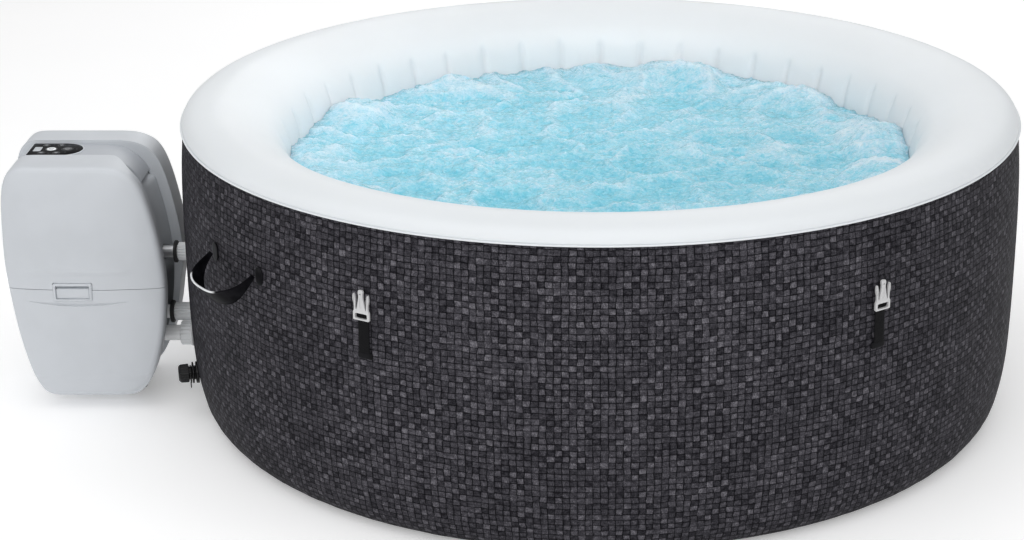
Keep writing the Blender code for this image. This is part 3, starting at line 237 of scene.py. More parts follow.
def printed_weave():
    """Charcoal basket-weave print: strands over and under in turn, dark gaps, fibre streaks."""
    strand_u, strand_v = 0.01428, 0.01225     # size of one woven cell
    net = Net("printed_weave")
    uv = net.uv()
    wobble = net.split("SeparateXYZ", {0: net.noise(uv, scale=30, rough=0.6, out="Color")})
    plain = net.split("SeparateXYZ", {0: uv})
    along_u = (plain[0] + (wobble[0] - 0.5) * 0.0095) / strand_u
    along_v = (plain[1] + (wobble[1] - 0.5) * 0.0070) / strand_v
    cell_u, cell_v = net.math("FLOOR", along_u), net.math("FLOOR", along_v)
    in_u, in_v = along_u - cell_u, along_v - cell_v
    over = net.math("MODULO", net.math("ABSOLUTE", cell_u + cell_v), 2)
    over = net.math("GREATER_THAN", over, 0.5)
    cell = net.add("CombineXYZ", {0: cell_u, 1: cell_v})
    shade_of_cell, cell_colour = net.split("TexWhiteNoise", {"Vector": cell},
                                           noise_dimensions="2D")
    _, pick_u, pick_v = net.split("SeparateColor", {0: cell_colour})
    from_mid_u = net.math("ABSOLUTE", in_u - 0.5)
    from_mid_v = net.math("ABSOLUTE", in_v - 0.5)
    # gaps lie at the cell borders; in one cell of five they narrow
    joined_u = net.math("GREATER_THAN", pick_u, 0.80) * 0.06
    joined_v = net.math("GREATER_THAN", pick_v, 0.80) * 0.06
    gap = net.math("MAXIMUM", net.smooth(from_mid_u - joined_u, lo=0.395, hi=0.478),
                   net.smooth(from_mid_v - joined_v, lo=0.385, hi=0.476))
    fray = net.noise(uv, scale=190, rough=0.65)
    gap = gap * net.smooth(fray, lo=0.30, hi=0.52, start=0.50)
    # fibre streaks along each strand
    streaks_u = net.noise(net.stretch(uv, (110, 900, 1)), scale=1, rough=0.6)
    streaks_v = net.noise(net.stretch(uv, (900, 110, 1)), scale=1, rough=0.6)
    fibre = net.add("Mix", {0: over, 2: streaks_u, 3: streaks_v}, data_type="FLOAT")
    crown = 1 - ((from_mid_u * 2) ** 3 + (from_mid_v * 2) ** 3) * 0.5
    speck = net.noise(uv, scale=520, rough=0.7)
    blot = net.noise(uv, scale=120, rough=0.6)
    broad = net.noise(uv, scale=3.2, rough=0.6)
    # weights: shade per cell, over cells paler, specks, blots, streaks, strand crowns, wide drift
    tone = (shade_of_cell * 0.36 + over * 0.20 + (speck - 0.5) * 1.5 + (blot - 0.5) * 1.2
            + (fibre - 0.5) * 1.05 + crown * 0.22 + (broad - 0.5) * 0.30)
    body = net.ramp(tone, [(0.02, srgb(20, 19, 24)), (0.40, srgb(52, 51, 56)),
                           (0.75, srgb(82, 80, 86)), (1.0, srgb(118, 116, 122))])
    colour = net.mix(gap, body, srgb(4, 4, 7))
    # painted shade: where the print is seen edge-on, towards the sides of the tub, it is darkened
    edge_on_shade = net.add("LayerWeight", {"Blend": 0.5}, out="Facing")
    colour = net.mix(edge_on_shade ** 1.5 * 0.42, colour, srgb(3, 3, 5))
    normal = net.bump(crown * 0.8 - gap * 1.0, strength=0.22, distance=0.0008)
    normal = net.bump(net.noise(uv, scale=14, rough=0.55), strength=0.10, distance=0.006,
                      below=normal)
    return net.finish(Base_Color=colour, Roughness=0.58 + fibre * 0.16, Normal=normal,
                      Specular_IOR_Level=0.06)


def white_vinyl(name, base, wrinkle=1.0):
    net = Net(name)
    pos = net.position()
    slow = net.noise(pos, scale=3)
    pores = net.voronoi(pos, scale=520)
    creases = net.noise(pos, scale=22, detail=4, rough=0.6, distort=0.4)
    colour = net.mix(net.smooth(slow, lo=0.3, hi=0.7), tuple(c * 0.985 for c in base),
                     tuple(min(1, c * 1.012) for c in base))
    marks = net.smooth(net.noise(pos, scale=60, detail=5, rough=0.7), lo=0.62, hi=0.80)
    colour = net.mix(marks * 0.05, colour, srgb(205, 208, 210))
    normal = net.bump(pores, strength=0.05, distance=0.0004)
    normal = net.bump(creases, strength=0.05 * wrinkle, distance=0.004, below=normal)
    return net.finish(Base_Color=colour,
                      Roughness=0.45 + net.noise(pos, scale=40, detail=4, rough=0.6) * 0.10,
                      Normal=normal, Subsurface_Weight=0.06,
                      Subsurface_Radius=(0.01, 0.01, 0.012), Coat_Weight=0.06,
                      Coat_Roughness=0.25)


def bubbling_water():
    """Aerated water: turquoise between drifts of foam, with bubbles of several sizes."""
    net = Net("bubbling_water")
    pos = net.position()
    warp = net.noise(pos, scale=9, rough=0.6, out="Color")
    shift = net.add("VectorMath", {0: warp, "Scale": 0.045}, operation="SCALE")
    warped = net.add("VectorMath", {0: pos, 1: shift}, operation="ADD")
    drawn = net.stretch(warped, (1, 1.45, 1))
    drift = net.noise(drawn, scale=16, detail=5, rough=0.62, distort=0.8)
    streak = net.noise(drawn, scale=46, detail=5, rough=0.66, distort=1.2)
    fine = net.noise(drawn, scale=150, detail=4, rough=0.65, distort=0.5)
    froth = net.noise(drawn, scale=420, rough=0.7)
    small_bubbles = net.voronoi(warped, scale=210, feature="SMOOTH_F1")
    large_bubbles = net.voronoi(warped, scale=95)
    bubble_ring = net.smooth(net.math("ABSOLUTE", large_bubbles - 0.30), lo=0, hi=0.09,
                             start=1, end=0)
    # painted foam weight, broken up by noise from broad to fine
    foam = (net.attribute("foam") * 0.95 + (drift - 0.5) * 0.95 + (streak - 0.5) * 0.95
            + (fine - 0.5) * 1.35 + (froth - 0.5) * 0.70)
    colour = net.ramp(foam, [(0.02, srgb(108, 194, 215)), (0.26, srgb(136, 206, 225)),
                             (0.50, srgb(166, 216, 232)), (0.78, srgb(188, 221, 235)),
                             (1.06, srgb(212, 232, 242))])
    # painted highlight: tiny near-white glints scattered over the foam
    painted_glint = (net.smooth(net.noise(warped, scale=330, rough=0.75), lo=0.66, hi=0.74)
               * net.smooth(foam, lo=0.35, hi=0.9))
    ring_share = bubble_ring * (net.smooth(foam, lo=0.45, hi=1) * 0.22)
    colour = net.mix(ring_share, colour, srgb(238, 246, 250))
    colour = net.mix(painted_glint * 0.8, colour, srgb(248, 252, 254))
    normal = net.bump(drift, strength=0.45, distance=0.020)
    normal = net.bump(streak, strength=0.40, distance=0.008, below=normal)
    normal = net.bump(small_bubbles, strength=0.40, distance=0.003, below=normal)
    normal = net.bump(fine, strength=0.35, distance=0.0025, below=normal)
    return net.finish(Base_Color=colour, Normal=normal, IOR=1.33, Subsurface_Weight=0.18,
                      Roughness=net.smooth(foam, lo=0.2, hi=0.9, start=0.10, end=0.34),
                      Subsurface_Radius=(0.01, 0.03, 0.04))


def webbing_material():
    """Narrow woven tape: ribs across the width; its UVs are in metres."""
    rib_pitch, warp_pitch = 0.0016, 0.0021
    net = Net("webbing")
    uv = net.uv()
    across, along, _ = net.split("SeparateXYZ", {0: uv})
    ribs = net.math("SINE", along * (2 * math.pi / rib_pitch))
    warps = net.math("SINE", across * (2 * math.pi / warp_pitch))
    weave = ribs * (0.6 + warps * 0.4)
    tone = weave * 0.18 + net.noise(uv, scale=1500, detail=2, rough=0.6)
    colour = net.ramp(tone, [(0.25, srgb(2, 2, 4)), (0.60, srgb(9, 9, 12)),
                             (0.95, srgb(26, 26, 30))])
    return net.finish(Base_Color=colour, Roughness=0.72,
                      Normal=net.bump(weave, strength=0.6, distance=0.0006),
                      Sheen_Weight=0.02, Sheen_Roughness=0.5, Specular_IOR_Level=0.12)


def gloss_vinyl(name, base, rough, shine, painted_highlight=False):
    """Black vinyl; optionally with a painted highlight: a near-white, glossier line that follows a
    painted weight attribute.
    """
    net = Net(name)
    pos = net.position()
    fine = net.noise(pos, scale=260, rough=0.55)
    slow = net.noise(pos, scale=45, detail=4, rough=0.6)
    colour = net.mix(net.smooth(slow, lo=0.35, hi=0.7), base,
                     tuple(c * 1.8 + 0.003 for c in base))
    roughness = rough - 0.05 + slow * 0.14
    metallic = 0.0
    normal = net.bump(fine, strength=0.10, distance=0.0006)
    normal = net.bump(slow, strength=0.10, distance=0.003, below=normal)
    if painted_highlight:
        # painted highlight: near-white colour, lower roughness and some metal along the weighted
        # line
        line = net.attribute("painted_highlight")
        colour = net.mix(line, colour, srgb(236, 238, 240))
        roughness = roughness - line * 0.18
        metallic = line * 0.35
    return net.finish(Base_Color=colour, Roughness=roughness, Normal=normal, Metallic=metallic,
                      Specular_IOR_Level=shine)


def black_rubber():
    net = Net("rubber_black")
    pos = net.position()
    grain = net.noise(pos, scale=700, rough=0.6)
    dust = net.smooth(net.noise(pos, scale=30, detail=5, rough=0.7), lo=0.50, hi=0.75)
    return net.finish(Base_Color=net.mix(dust * 0.35, srgb(22, 22, 23), srgb(52, 52, 53)),
                      Roughness=0.55 + dust * 0.2,
                      Normal=net.bump(grain, strength=0.12, distance=0.0004))


def brushed_steel():
    net = Net("brushed_steel_rod")
    brush = net.noise(net.stretch(net.position(), (30, 900, 900)), scale=1, rough=0.6)
    return net.finish(Base_Color=net.mix(brush, srgb(150, 151, 153), srgb(205, 206, 208)),
                      Metallic=1.0, Roughness=0.22 + brush * 0.2,
                      Normal=net.bump(brush, strength=0.05, distance=0.0003))


def flank_plastic():
    """Moulded flank between the covers: pale grey, with painted shade making it darker grey below
    on the tub side.
    """
    net = Net("flank_plastic_grain")
    pos = net.position()
    x, _, z = net.split("SeparateXYZ", {0: pos})
    fine = net.noise(pos, scale=1000, detail=2, rough=0.6)
    slow = net.noise(pos, scale=9, rough=0.55)
    pale = net.mix(slow, srgb(196, 200, 205), srgb(206, 210, 215))
    dark = net.mix(slow, srgb(92, 95, 98), srgb(104, 107, 110))
    # painted shade: on the tub side, below about the split height, the colour goes to dark grey
    upper = net.smooth(z, lo=0.262, hi=0.305)
    outer = net.smooth(x, lo=-1.120, hi=-1.070, start=1, end=0)
    return net.finish(Base_Color=net.mix(net.math("MAXIMUM", upper, outer), dark, pale),
                      Roughness=0.42 + slow * 0.12,
                      Normal=net.bump(fine, strength=0.06, distance=0.0004))


def circuit_board():
    net = Net("circuit_board_green")
    pos = net.position()
    traces = net.smooth(net.voronoi(pos, scale=260, random=0), lo=0.02, hi=0.10, start=1, end=0)
    green = net.mix(net.noise(pos, scale=120, detail=2), srgb(12, 84, 40), srgb(24, 110, 56))
    return net.finish(Base_Color=net.mix(traces, green, srgb(196, 170, 92)), Roughness=0.4)


def filter_fleece():
    net = Net("filter_fleece")
    pos = net.position()
    fluff = net.noise(pos, scale=900, detail=4, rough=0.7)
    soil = net.noise(pos, scale=40, rough=0.6)
    clean = net.mix(fluff, srgb(206, 214, 226), srgb(232, 236, 241))
    return net.finish(Base_Color=net.mix(soil, clean, srgb(214, 220, 224)), Roughness=0.9,
                      Normal=net.bump(fluff, strength=0.3, distance=0.0005), Sheen_Weight=0.2)


def panel_gloss():
    net = Net("panel_gloss")
    pos = net.position()
    smear = net.noise(pos, scale=60, detail=4, rough=0.6, distort=1)
    dust = net.smooth(net.noise(pos, scale=1600, detail=2), lo=0.70, hi=0.78)
    return net.finish(Base_Color=net.mix(dust * 0.10, srgb(7, 8, 10), srgb(70, 72, 75)),
                      Roughness=0.16 + smear * 0.14, Specular_IOR_Level=0.03)


def studio_floor():
    net = Net("studio_floor")
    patches = net.noise(net.position(), scale=2, detail=2)
    return net.finish(Base_Color=net.mix(patches, (0.90, 0.90, 0.905), (0.93, 0.93, 0.935)),
                      Roughness=0.85, Emission_Color=(1, 1, 1, 1), Emission_Strength=0.27)


PRINT = dict(rough=0.45, grain=0.0, tint=0.0, wear=0.0)
MATS = {
    "weave": printed_weave(),
    "white": white_vinyl("white_vinyl_film", (0.762, 0.792, 0.816)),
    "white_in": white_vinyl("inner_vinyl_film", (0.800, 0.822, 0.842), wrinkle=1.6),
    "brace": white_vinyl("brace_vinyl_film", (0.60, 0.62, 0.64)),
    "water": bubbling_water(),
    "webbing": webbing_material(),
    "black_vinyl": gloss_vinyl("black_vinyl_film", srgb(10, 10, 13), rough=0.38, shine=0.07),
    "grip": gloss_vinyl("grip_vinyl", srgb(9, 9, 12), rough=0.46, shine=0.03, painted_highlight=True),
    "valve": gloss_vinyl("valve_vinyl", srgb(7, 7, 9), rough=0.18, shine=0.22),
    "buckle": moulded("buckle_acetal", srgb(196, 196, 197), rough=0.34, tint=0.04, coat=0.1),
    "case": moulded("case_plastic_grain", srgb(199, 203, 208), grain=0.06, tint=0.02,
                    grain_scale=1100, wear=0.30),
    "deck": moulded("deck_plastic_grain", srgb(176, 180, 186), grain=0.07, tint=0.03),
    "core": moulded("core_plastic_grain", srgb(150, 154, 158), rough=0.50, grain=0.09),
    "flank": flank_plastic(),
    "panel": panel_gloss(),
    "key_white": moulded("key_white_plastic", srgb(238, 241, 244), rough=0.25, grain=0.02,
                         tint=0.01, coat=0.3),
    "key_black": moulded("key_black_plastic", srgb(40, 41, 44), rough=0.28, grain=0.02, coat=0.3),
    "print": moulded("panel_print", srgb(186, 190, 194), **PRINT),
    "print_faint": moulded("panel_print_faint", srgb(96, 99, 103), **PRINT),
    "rubber": black_rubber(),
    "pipe": moulded("pipe_plastic_gloss", srgb(240, 242, 244), rough=0.20, grain=0.03,
                    tint=0.02, coat=0.5),
    "nut": moulded("nut_plastic", srgb(234, 237, 239), rough=0.18, grain=0.04, tint=0.03,
                   coat=0.5),
    "steel": brushed_steel(),
    "board": circuit_board(),
    "paper": filter_fleece(),
    "motor": moulded("motor_paint", srgb(58, 59, 62), rough=0.38, grain=0.12, tint=0.08,
                     coat=0.1),
}


# ---------------------------------------------------------------- curves and sections
def smoothstep(value, lo, hi):
    share = np.clip((value - lo) / (hi - lo), 0, 1)
    return share * share * (3 - 2 * share)


def turn(count):
    """Evenly spaced angles round a full turn."""
    return np.linspace(0, 2 * math.pi, count, endpoint=False)


def spline_point(before, start, end, after, t):
    """Catmull-Rom point between start (t = 0) and end (t = 1)."""
    return 0.5 * (2 * start + (end - before) * t
                  + (2 * before - 5 * start + 4 * end - after) * t * t
                  + (3 * start - before - 3 * end + after) * t ** 3)


def smooth_curve(points, per):
    """Open Catmull-Rom curve with `per` steps between neighbouring points."""
    pts = np.array(points, float)
    pts = np.vstack([2 * pts[0] - pts[1], pts, 2 * pts[-1] - pts[-2]])
    out = [spline_point(*pts[i - 1:i + 3], k / per)
           for i in range(1, len(pts) - 2) for k in range(per)]
    return np.array(out + [pts[-2]])


def resample(curve, step):
    """Even spacing along a polyline."""
    lengths = np.linalg.norm(np.diff(curve, axis=0), axis=1)
    run = np.concatenate([[0], np.cumsum(lengths)])
    count = max(2, int(round(run[-1] / step)) + 1)
    spots = np.linspace(0, run[-1], count)
    return np.stack([np.interp(spots, run, curve[:, k]) for k in range(curve.shape[1])], -1)


def signed_power(value, power):
    return math.copysign(abs(value) ** power, value)


def section(count, power_x, power_y):
    """Unit superellipse; the lower the powers, the squarer it is."""
    angles = [2 * math.pi * k / count for k in range(count)]
    return [(signed_power(math.cos(a), power_x), signed_power(math.sin(a), power_y))
            for a in angles]


def superbox(half_x, half_y, power, count):
    """Rounded-rectangle outline."""
    return [(half_x * x, half_y * y) for x, y in section(count, 2 / power, 2 / power)]


def rounded(profile, radius, steps=4):
    """Rounds every corner of a closed polygon."""
    pts = [np.array(q, float) for q in profile]
    out = []
    for i, corner in enumerate(pts):
        before, after = pts[i - 1], pts[(i + 1) % len(pts)]
        len_in, len_out = np.linalg.norm(before - corner), np.linalg.norm(after - corner)
        cut = min(radius, len_in * 0.45, len_out * 0.45)
        start = corner + (before - corner) / len_in * cut
        end = corner + (after - corner) / len_out * cut
        for k in range(steps + 1):
            t = k / steps
            out.append((1 - t) ** 2 * start + 2 * t * (1 - t) * corner + t * t * end)
    return [tuple(q) for q in out]


def ring_profile(inner, outer, low, high):
    """Rectangular (radius, height) section of a ring."""
    return [(inner, low), (outer, low), (outer, high), (inner, high)]


# ---------------------------------------------------------------- placing
def wall_frame(azimuth, radius, z):
    """Frame on the round wall: X along it, Y up, Z outwards."""
    angle = math.radians(azimuth)
    out = Vector((math.cos(angle), math.sin(angle), 0))
    up = Vector((0, 0, 1))
    frame = Matrix((up.cross(out), up, out)).transposed().to_4x4()
    frame.translation = out * radius + Vector((0, 0, z))
    return frame


def along_x(x, y, z):
    return Matrix.Translation((x, y, z)) @ Matrix.Rotation(math.radians(90), 4, "Y")


def book(obj, body, slot_name=None, *nodes):
    """Books a finished piece: hides the CAD nodes it stands for and hangs it on the body it rides
    on. slot_name is not used.
    """
    if nodes:
        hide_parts(*nodes)
    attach(obj, body)


# ---------------------------------------------------------------- meshes
def shade(obj, angle=None):
    """Smooth shading; edges bent by more than `angle` degrees stay sharp."""
    obj.data.shade_smooth()
    if angle is not None:
        obj.data.set_sharp_from_angle(angle=math.radians(angle))


def add_object(name, mesh):
    obj = bpy.data.objects.new(name, mesh)
    bpy.context.scene.collection.objects.link(obj)
    return obj


def link(name, mesh, mat, angle=None):
    obj = add_object(name, mesh)
    if mat is not None:
        mesh.materials.append(mat)
    shade(obj, angle)
    return obj


def solid(name, bm, mat, frame, angle):
    """Moves a bmesh into its frame and makes an object of it."""
    if frame is not None:
        bmesh.ops.transform(bm, matrix=frame, verts=bm.verts)
    bmesh.ops.recalc_face_normals(bm, faces=bm.faces)
    mesh = bpy.data.meshes.new(name)
    bm.to_mesh(mesh)
    bm.free()
    return link(name, mesh, mat, angle)


def grid_mesh(name, pts, mat, wrap_u=False, wrap_v=False, uvs=None, angle=None, cap=False):
    """Quads over an array (rows, cols, 3). wrap_u joins last column to first, wrap_v the rows.

    uvs(row, col) gives the UVs; cap closes the first and last row.
    """
    rows, cols = pts.shape[:2]
    row, col = np.meshgrid(np.arange(rows if wrap_v else rows - 1),
                           np.arange(cols if wrap_u else cols - 1), indexing="ij")
    row2, col2 = (row + 1) % rows, (col + 1) % cols
    quads = np.stack([row * cols + col, row * cols + col2, row2 * cols + col2,
                      row2 * cols + col], -1).reshape(-1, 4)
    faces = [tuple(q) for q in quads.tolist()]
    if cap:
        faces += [tuple(range(cols))[::-1], tuple(range((rows - 1) * cols, rows * cols))]
    mesh = bpy.data.meshes.new(name)
    mesh.from_pydata([tuple(v) for v in pts.reshape(-1, 3).tolist()], [], faces)
    mesh.update()
    if uvs is not None:
        layer = mesh.uv_layers.new(name="UVMap")
        corners = (uvs(row, col), uvs(row, col + 1), uvs(row + 1, col + 1), uvs(row + 1, col))
        flat = np.stack(corners, axis=2).reshape(-1, 2)
        full = np.zeros((len(mesh.loops), 2))
        full[:len(flat)] = flat
        layer.data.foreach_set("uv", full.astype(np.float32).ravel())
    if (wrap_u and wrap_v) or cap:
        bm = bmesh.new()
        bm.from_mesh(mesh)
        if bm.calc_volume(signed=True) < 0:
            bmesh.ops.reverse_faces(bm, faces=bm.faces)
            bm.to_mesh(mesh)
        bm.free()
    return link(name, mesh, mat, angle)


def lathe(name, profile, mat, frame, steps=64, angle=40, bumps=None):
    """Closed (r, h) profile turned about the frame's Z. bumps(angle, row) adds to the radius."""
    prof = np.array(profile, float)
    angles = turn(steps)[:, None]
    radii = np.tile(prof[:, 0], (steps, 1))
    if bumps is not None:
        radii = radii + bumps(angles, np.arange(len(prof))[None])
    pts = np.stack([radii * np.cos(angles), radii * np.sin(angles),
                    np.tile(prof[:, 1], (steps, 1))], -1)
    pts = np.array([frame @ Vector(p) for p in pts.reshape(-1, 3)]).reshape(pts.shape)
    return grid_mesh(name, pts.transpose(1, 0, 2), mat, True, True, angle=angle)


def ribbed(count, depth, rows):
    """Radius bumps for lathe: `count` flat-topped ribs on the given profile rows."""
    def bumps(angle, row):
        return depth * np.clip(np.cos(angle * count) * 1.6, -1, 1) * np.isin(row, rows)
    return bumps


def box(name, low, high, mat, radius, frame=None, segments=4):
    """Box with rounded edges; radius 0 leaves it plain."""
    bm = bmesh.new()
    bmesh.ops.create_cube(bm, size=1.0)
    bmesh.ops.scale(bm, vec=Vector(high) - Vector(low), verts=bm.verts)
    if radius:
        bmesh.ops.bevel(bm, geom=list(bm.edges), offset=radius, segments=segments, profile=0.5,
                        affect="EDGES", clamp_overlap=True)
    bmesh.ops.translate(bm, vec=(Vector(high) + Vector(low)) / 2, verts=bm.verts)
    return solid(name, bm, mat, frame, 45 if radius else None)


def prism(name, outline, low, high, mat, frame=None, soft=0.0008, segments=3, angle=35):
    """Flat outline (x, y) raised from low to high, its rims rounded by `soft`."""
    bm = bmesh.new()
    bottom = [bm.verts.new((x, y, low)) for x, y in outline]
    top = [bm.verts.new((x, y, high)) for x, y in outline]
    bm.faces.new(bottom[::-1])
    bm.faces.new(top)
    for i in range(len(bottom)):
        j = (i + 1) % len(bottom)
        bm.faces.new((bottom[i], bottom[j], top[j], top[i]))
    bmesh.ops.recalc_face_normals(bm, faces=bm.faces)
    if soft:
        rims = [e for e in bm.edges if abs(e.verts[0].co.z - e.verts[1].co.z) < 1e-7]
        bmesh.ops.bevel(bm, geom=rims, offset=soft, segments=segments, profile=0.5,
                        affect="EDGES", clamp_overlap=True)
    return solid(name, bm, mat, frame, angle)


def tube_along(name, path, radius, mat, sides=16, closed=False):
    """Solid round rod along a path; closed makes a ring."""
    pts = np.array(path, float)
    last = len(pts) - 1
    turns = np.arange(sides) * 2 * math.pi / sides
    loops, side = [], None
    for i, centre in enumerate(pts):
        if closed:
            ahead, behind = (i + 1) % len(pts), (i - 1) % len(pts)
        else:
            ahead, behind = min(i + 1, last), max(i - 1, 0)
        forward = pts[ahead] - pts[behind]
        forward = forward / np.linalg.norm(forward)
        if side is None:
            side = np.cross(forward, (0.0, 0.0, 1.0))
            if np.linalg.norm(side) < 1e-3:
                side = np.cross(forward, (0.0, 1.0, 0.0))
        side = side - forward * side.dot(forward)
        side = side / np.linalg.norm(side)
        up = np.cross(forward, side)
        loops.append(centre + radius * (np.cos(turns)[:, None] * side
                                        + np.sin(turns)[:, None] * up))
    return grid_mesh(name, np.array(loops), mat, True, closed, angle=60, cap=not closed)


def baked_mesh(obj):
    """New mesh with the object's modifiers applied."""
    depsgraph = bpy.context.evaluated_depsgraph_get()
    return bpy.data.meshes.new_from_object(obj.evaluated_get(depsgraph), depsgraph=depsgraph)


def swap_mesh(obj, mesh):
    old = obj.data
    obj.data = mesh
    bpy.data.meshes.remove(old)


def carve(obj, cutter):
    """Cuts the cutter out of the object at once and removes the cutter.

    The exact solver takes over where the manifold one gives nothing or changes nothing.
    """
    for solver in ("MANIFOLD", "EXACT"):
        mod = obj.modifiers.new("carve", "BOOLEAN")
        mod.object = cutter
        mod.operation = "DIFFERENCE"
        mod.solver = solver
        mesh = baked_mesh(obj)
        obj.modifiers.remove(mod)
        if len(mesh.polygons) and len(mesh.vertices) != len(obj.data.vertices):
            break
    swap_mesh(obj, mesh)
    bpy.data.objects.remove(cutter, do_unlink=True)


def round_cutter(radius, low, high, mat, frame, steps):
    return lathe("tool", ring_profile(0.0001, radius, low, high), mat, frame, steps)


def join(objs, name):
    """Several meshes as one object."""
    bm = bmesh.new()
    mats = []
    for obj in objs:
        remap = []
        for mat in obj.data.materials:
            if mat not in mats:
                mats.append(mat)
            remap.append(mats.index(mat))
        start = len(bm.faces)
        bm.from_mesh(obj.data)
        bm.faces.ensure_lookup_table()
        for face in bm.faces[start:]:
            face.material_index = remap[face.material_index]
    mesh = bpy.data.meshes.new(name)
    bm.to_mesh(mesh)
    bm.free()
    for mat in mats:
        mesh.materials.append(mat)
    for obj in objs:
        bpy.data.objects.remove(obj, do_unlink=True)
    return add_object(name, mesh)


# ================================================================ tub: wall, rim, inner wall
# (radius, z) from the ground up to the seam
WALL_POINTS = [(0.834, 0.0), (0.858, 0.0110), (0.876, 0.036), (0.8875, 0.080), (0.895, 0.140),
               (0.8985, 0.220), (0.900, 0.320), (0.900, 0.440), (0.8975, 0.530), (0.8935, 0.590),
               (0.8905, SEAM_Z - 0.0004)]
# (radius, z) from the seam over the top and down into the well
RIM_POINTS = [(0.8917, SEAM_Z + 0.0006), (0.8872, 0.6470), (0.8725, 0.6585), (0.847, 0.6652),
              (0.810, TOP_Z + 0.0060), (0.765, 0.6535), (0.725, 0.6315), (0.703, 0.6140),
              (0.685, 0.5900), (0.674, 0.5600), (0.6685, 0.5300), (0.6675, 0.5040)]
# (radius, z) of the inner wall, downwards
INNER_POINTS = [(0.6674, 0.5028), (0.6671, 0.4920), (0.6670, 0.4800), (0.6670, 0.4000),
                (0.6670, 0.3000), (0.6670, 0.2000), (0.6670, 0.1000), (0.6668, 0.0300),
                (0.6665, 0.0040)]
# (radius, z above the unlifted seam) round the weld lip
LIP_POINTS = [(0.8902, 0.6196), (0.8926, 0.6200), (0.8944, 0.6209), (0.8950, 0.6217),
              (0.8944, 0.6224), (0.8926, 0.6231), (0.8902, 0.6234)]


def ring_noise(az, z, freq, salt):
    """Smooth repeatable noise round the ring; az and z are arrays."""
    values = [noise.noise(Vector((math.cos(a) * freq, math.sin(a) * freq, h * freq + salt)))
              for a, h in zip(az.ravel(), z.ravel())]
    return np.array(values).reshape(az.shape)


def ring_surface(name, curve, mat, cols, move):
    """Skin of revolution with thickness. move(az, radius, z) gives the radial shift."""
    tangent = np.gradient(curve, axis=0)
    tangent /= np.linalg.norm(tangent, axis=1)[:, None]
    inside = curve + np.stack([-tangent[:, 1], tangent[:, 0]], -1) * FILM
    full = np.vstack([curve, inside[::-1]])
    az, radius = np.meshgrid(turn(cols), full[:, 0])
    z = np.repeat(full[:, 1][:, None], cols, 1)
    radius = radius + move(az, radius, z)
    pts = np.stack([radius * np.cos(az), radius * np.sin(az), z], -1)
    lengths = np.linalg.norm(np.diff(full, axis=0), axis=1)
    run = np.concatenate([[0], np.cumsum(lengths)])

    def uv(row, col):
        return np.stack([col * (2 * math.pi * R_WALL / cols),
                         full[0, 1] + run[np.clip(row, 0, len(run) - 1)]], -1)
    return grid_mesh(name, pts, mat, True, True, uvs=uv)


def wall_move(az, radius, z):
    """Taut wall: faint flats over the braces, small tucks near the seam and the ground edge."""
    flats = np.abs(np.cos(az * BRACES / 2)) ** 10
    body = smoothstep(z, 0.05, 0.16) * (1 - smoothstep(z, 0.52, 0.60))
    tuck = smoothstep(z, 0.575, 0.612) * (1 - smoothstep(z, 0.6170, 0.6212))
    foot = (1 - smoothstep(z, 0.02, 0.11)) * smoothstep(z, 0.0, 0.015)
    foot_noise = ring_noise(az, z * 0.15, 26.0, 1.0)
    tuck_noise = ring_noise(az, z * 0.35, 55.0, 7.0)
    body_noise = ring_noise(az, z, 4.0, 13.0)
    return (-0.0010 * flats * body + 0.0011 * tuck * tuck_noise + 0.0016 * foot * foot_noise
            + 0.0012 * body_noise * body - 0.0008 * tuck)


def crease_weight(az):
    """1 in the crease over a brace, 0 in the middle of a chamber."""
    return np.abs(2 * ((az / PITCH) % 1.0) - 1)


def brace_seed(i):
    """Repeatable value 0..1 for a brace number."""
    return (math.sin((int(i) % BRACES) * 127.1 + 3.7) * 43758.5453) % 1.0


def crease_ramp(az, z):
    """0 above the start of each brace's crease, 1 well below it."""
    brace = np.floor(az / PITCH + 0.5).astype(int)
    start = 0.604 + 0.007 * np.vectorize(brace_seed)(brace)
    return smoothstep(start - z, 0.0, 0.030)


def inner_move(az, radius, z):
    """Chamber pillows: each bulges into the well and pulls back sharply at its brace."""
    weight, ramp = crease_weight(az), crease_ramp(az, z)
    inside = 1 - smoothstep(radius, 0.705, 0.725)
    crease = 0.0052 * weight ** 6 + 0.0032 * weight ** 26
    pillow = -0.0010 * (1 - weight ** 2)
    soft = ring_noise(az, z * 0.5, 9.0, 3.0)
    tiny = ring_noise(az, z * 0.6, 40.0, 19.0)
    tuck = (smoothstep(z, SEAM_Z, SEAM_Z + 0.004)
            * (1 - smoothstep(z, SEAM_Z + 0.008, SEAM_Z + 0.030)) * (radius > 0.84))
    wrinkle = 0.0007 * tiny * inside * (0.4 + ramp)
    return inside * ramp * (crease + pillow) + 0.0009 * soft + wrinkle + 0.0007 * tuck * tiny


def seam_weld():
    """Narrow pinched lip where print and rim are joined."""
    az = turn(WALL_COLUMNS)
    wave = 0.0004 * ring_noise(az, np.zeros(az.shape), 45.0, 2.0)
    rows = []
    for radius, z in LIP_POINTS:
        rows.append(np.stack([(radius + wave) * np.cos(az), (radius + wave) * np.sin(az),
                              z + SEAM_LIFT + wave * 0.6], -1))
    return grid_mesh("seam_weld", np.array(rows), MATS["white"], True, True)


book(ring_surface("printed_wall", resample(smooth_curve(WALL_POINTS, 8), 0.0075),
                  MATS["weave"], WALL_COLUMNS, wall_move), "tub", "printed_vinyl", "outer_wall")
book(ring_surface("white_rim", resample(smooth_curve(RIM_POINTS, 8), 0.0060),
                  MATS["white"], WELL_COLUMNS, inner_move), "tub", "white_vinyl", "top_rim")
book(ring_surface("white_inner_wall", resample(np.array(INNER_POINTS), 0.0200),
                  MATS["white_in"], WELL_COLUMNS, inner_move), "tub", "white_vinyl", "inner_wall")
book(seam_weld(), "tub", "white_vinyl")

# ================================================================ water
WATER_Z = 0.518
WATER_STEP = 0.0042          # cell size of the surface grid
WATER_SKIRT_Z = 0.480        # underside
WATER_GRID_R = 0.655         # grid cells reach this far; the border is then pushed to the wall
WATER_EDGE_R = 0.6690


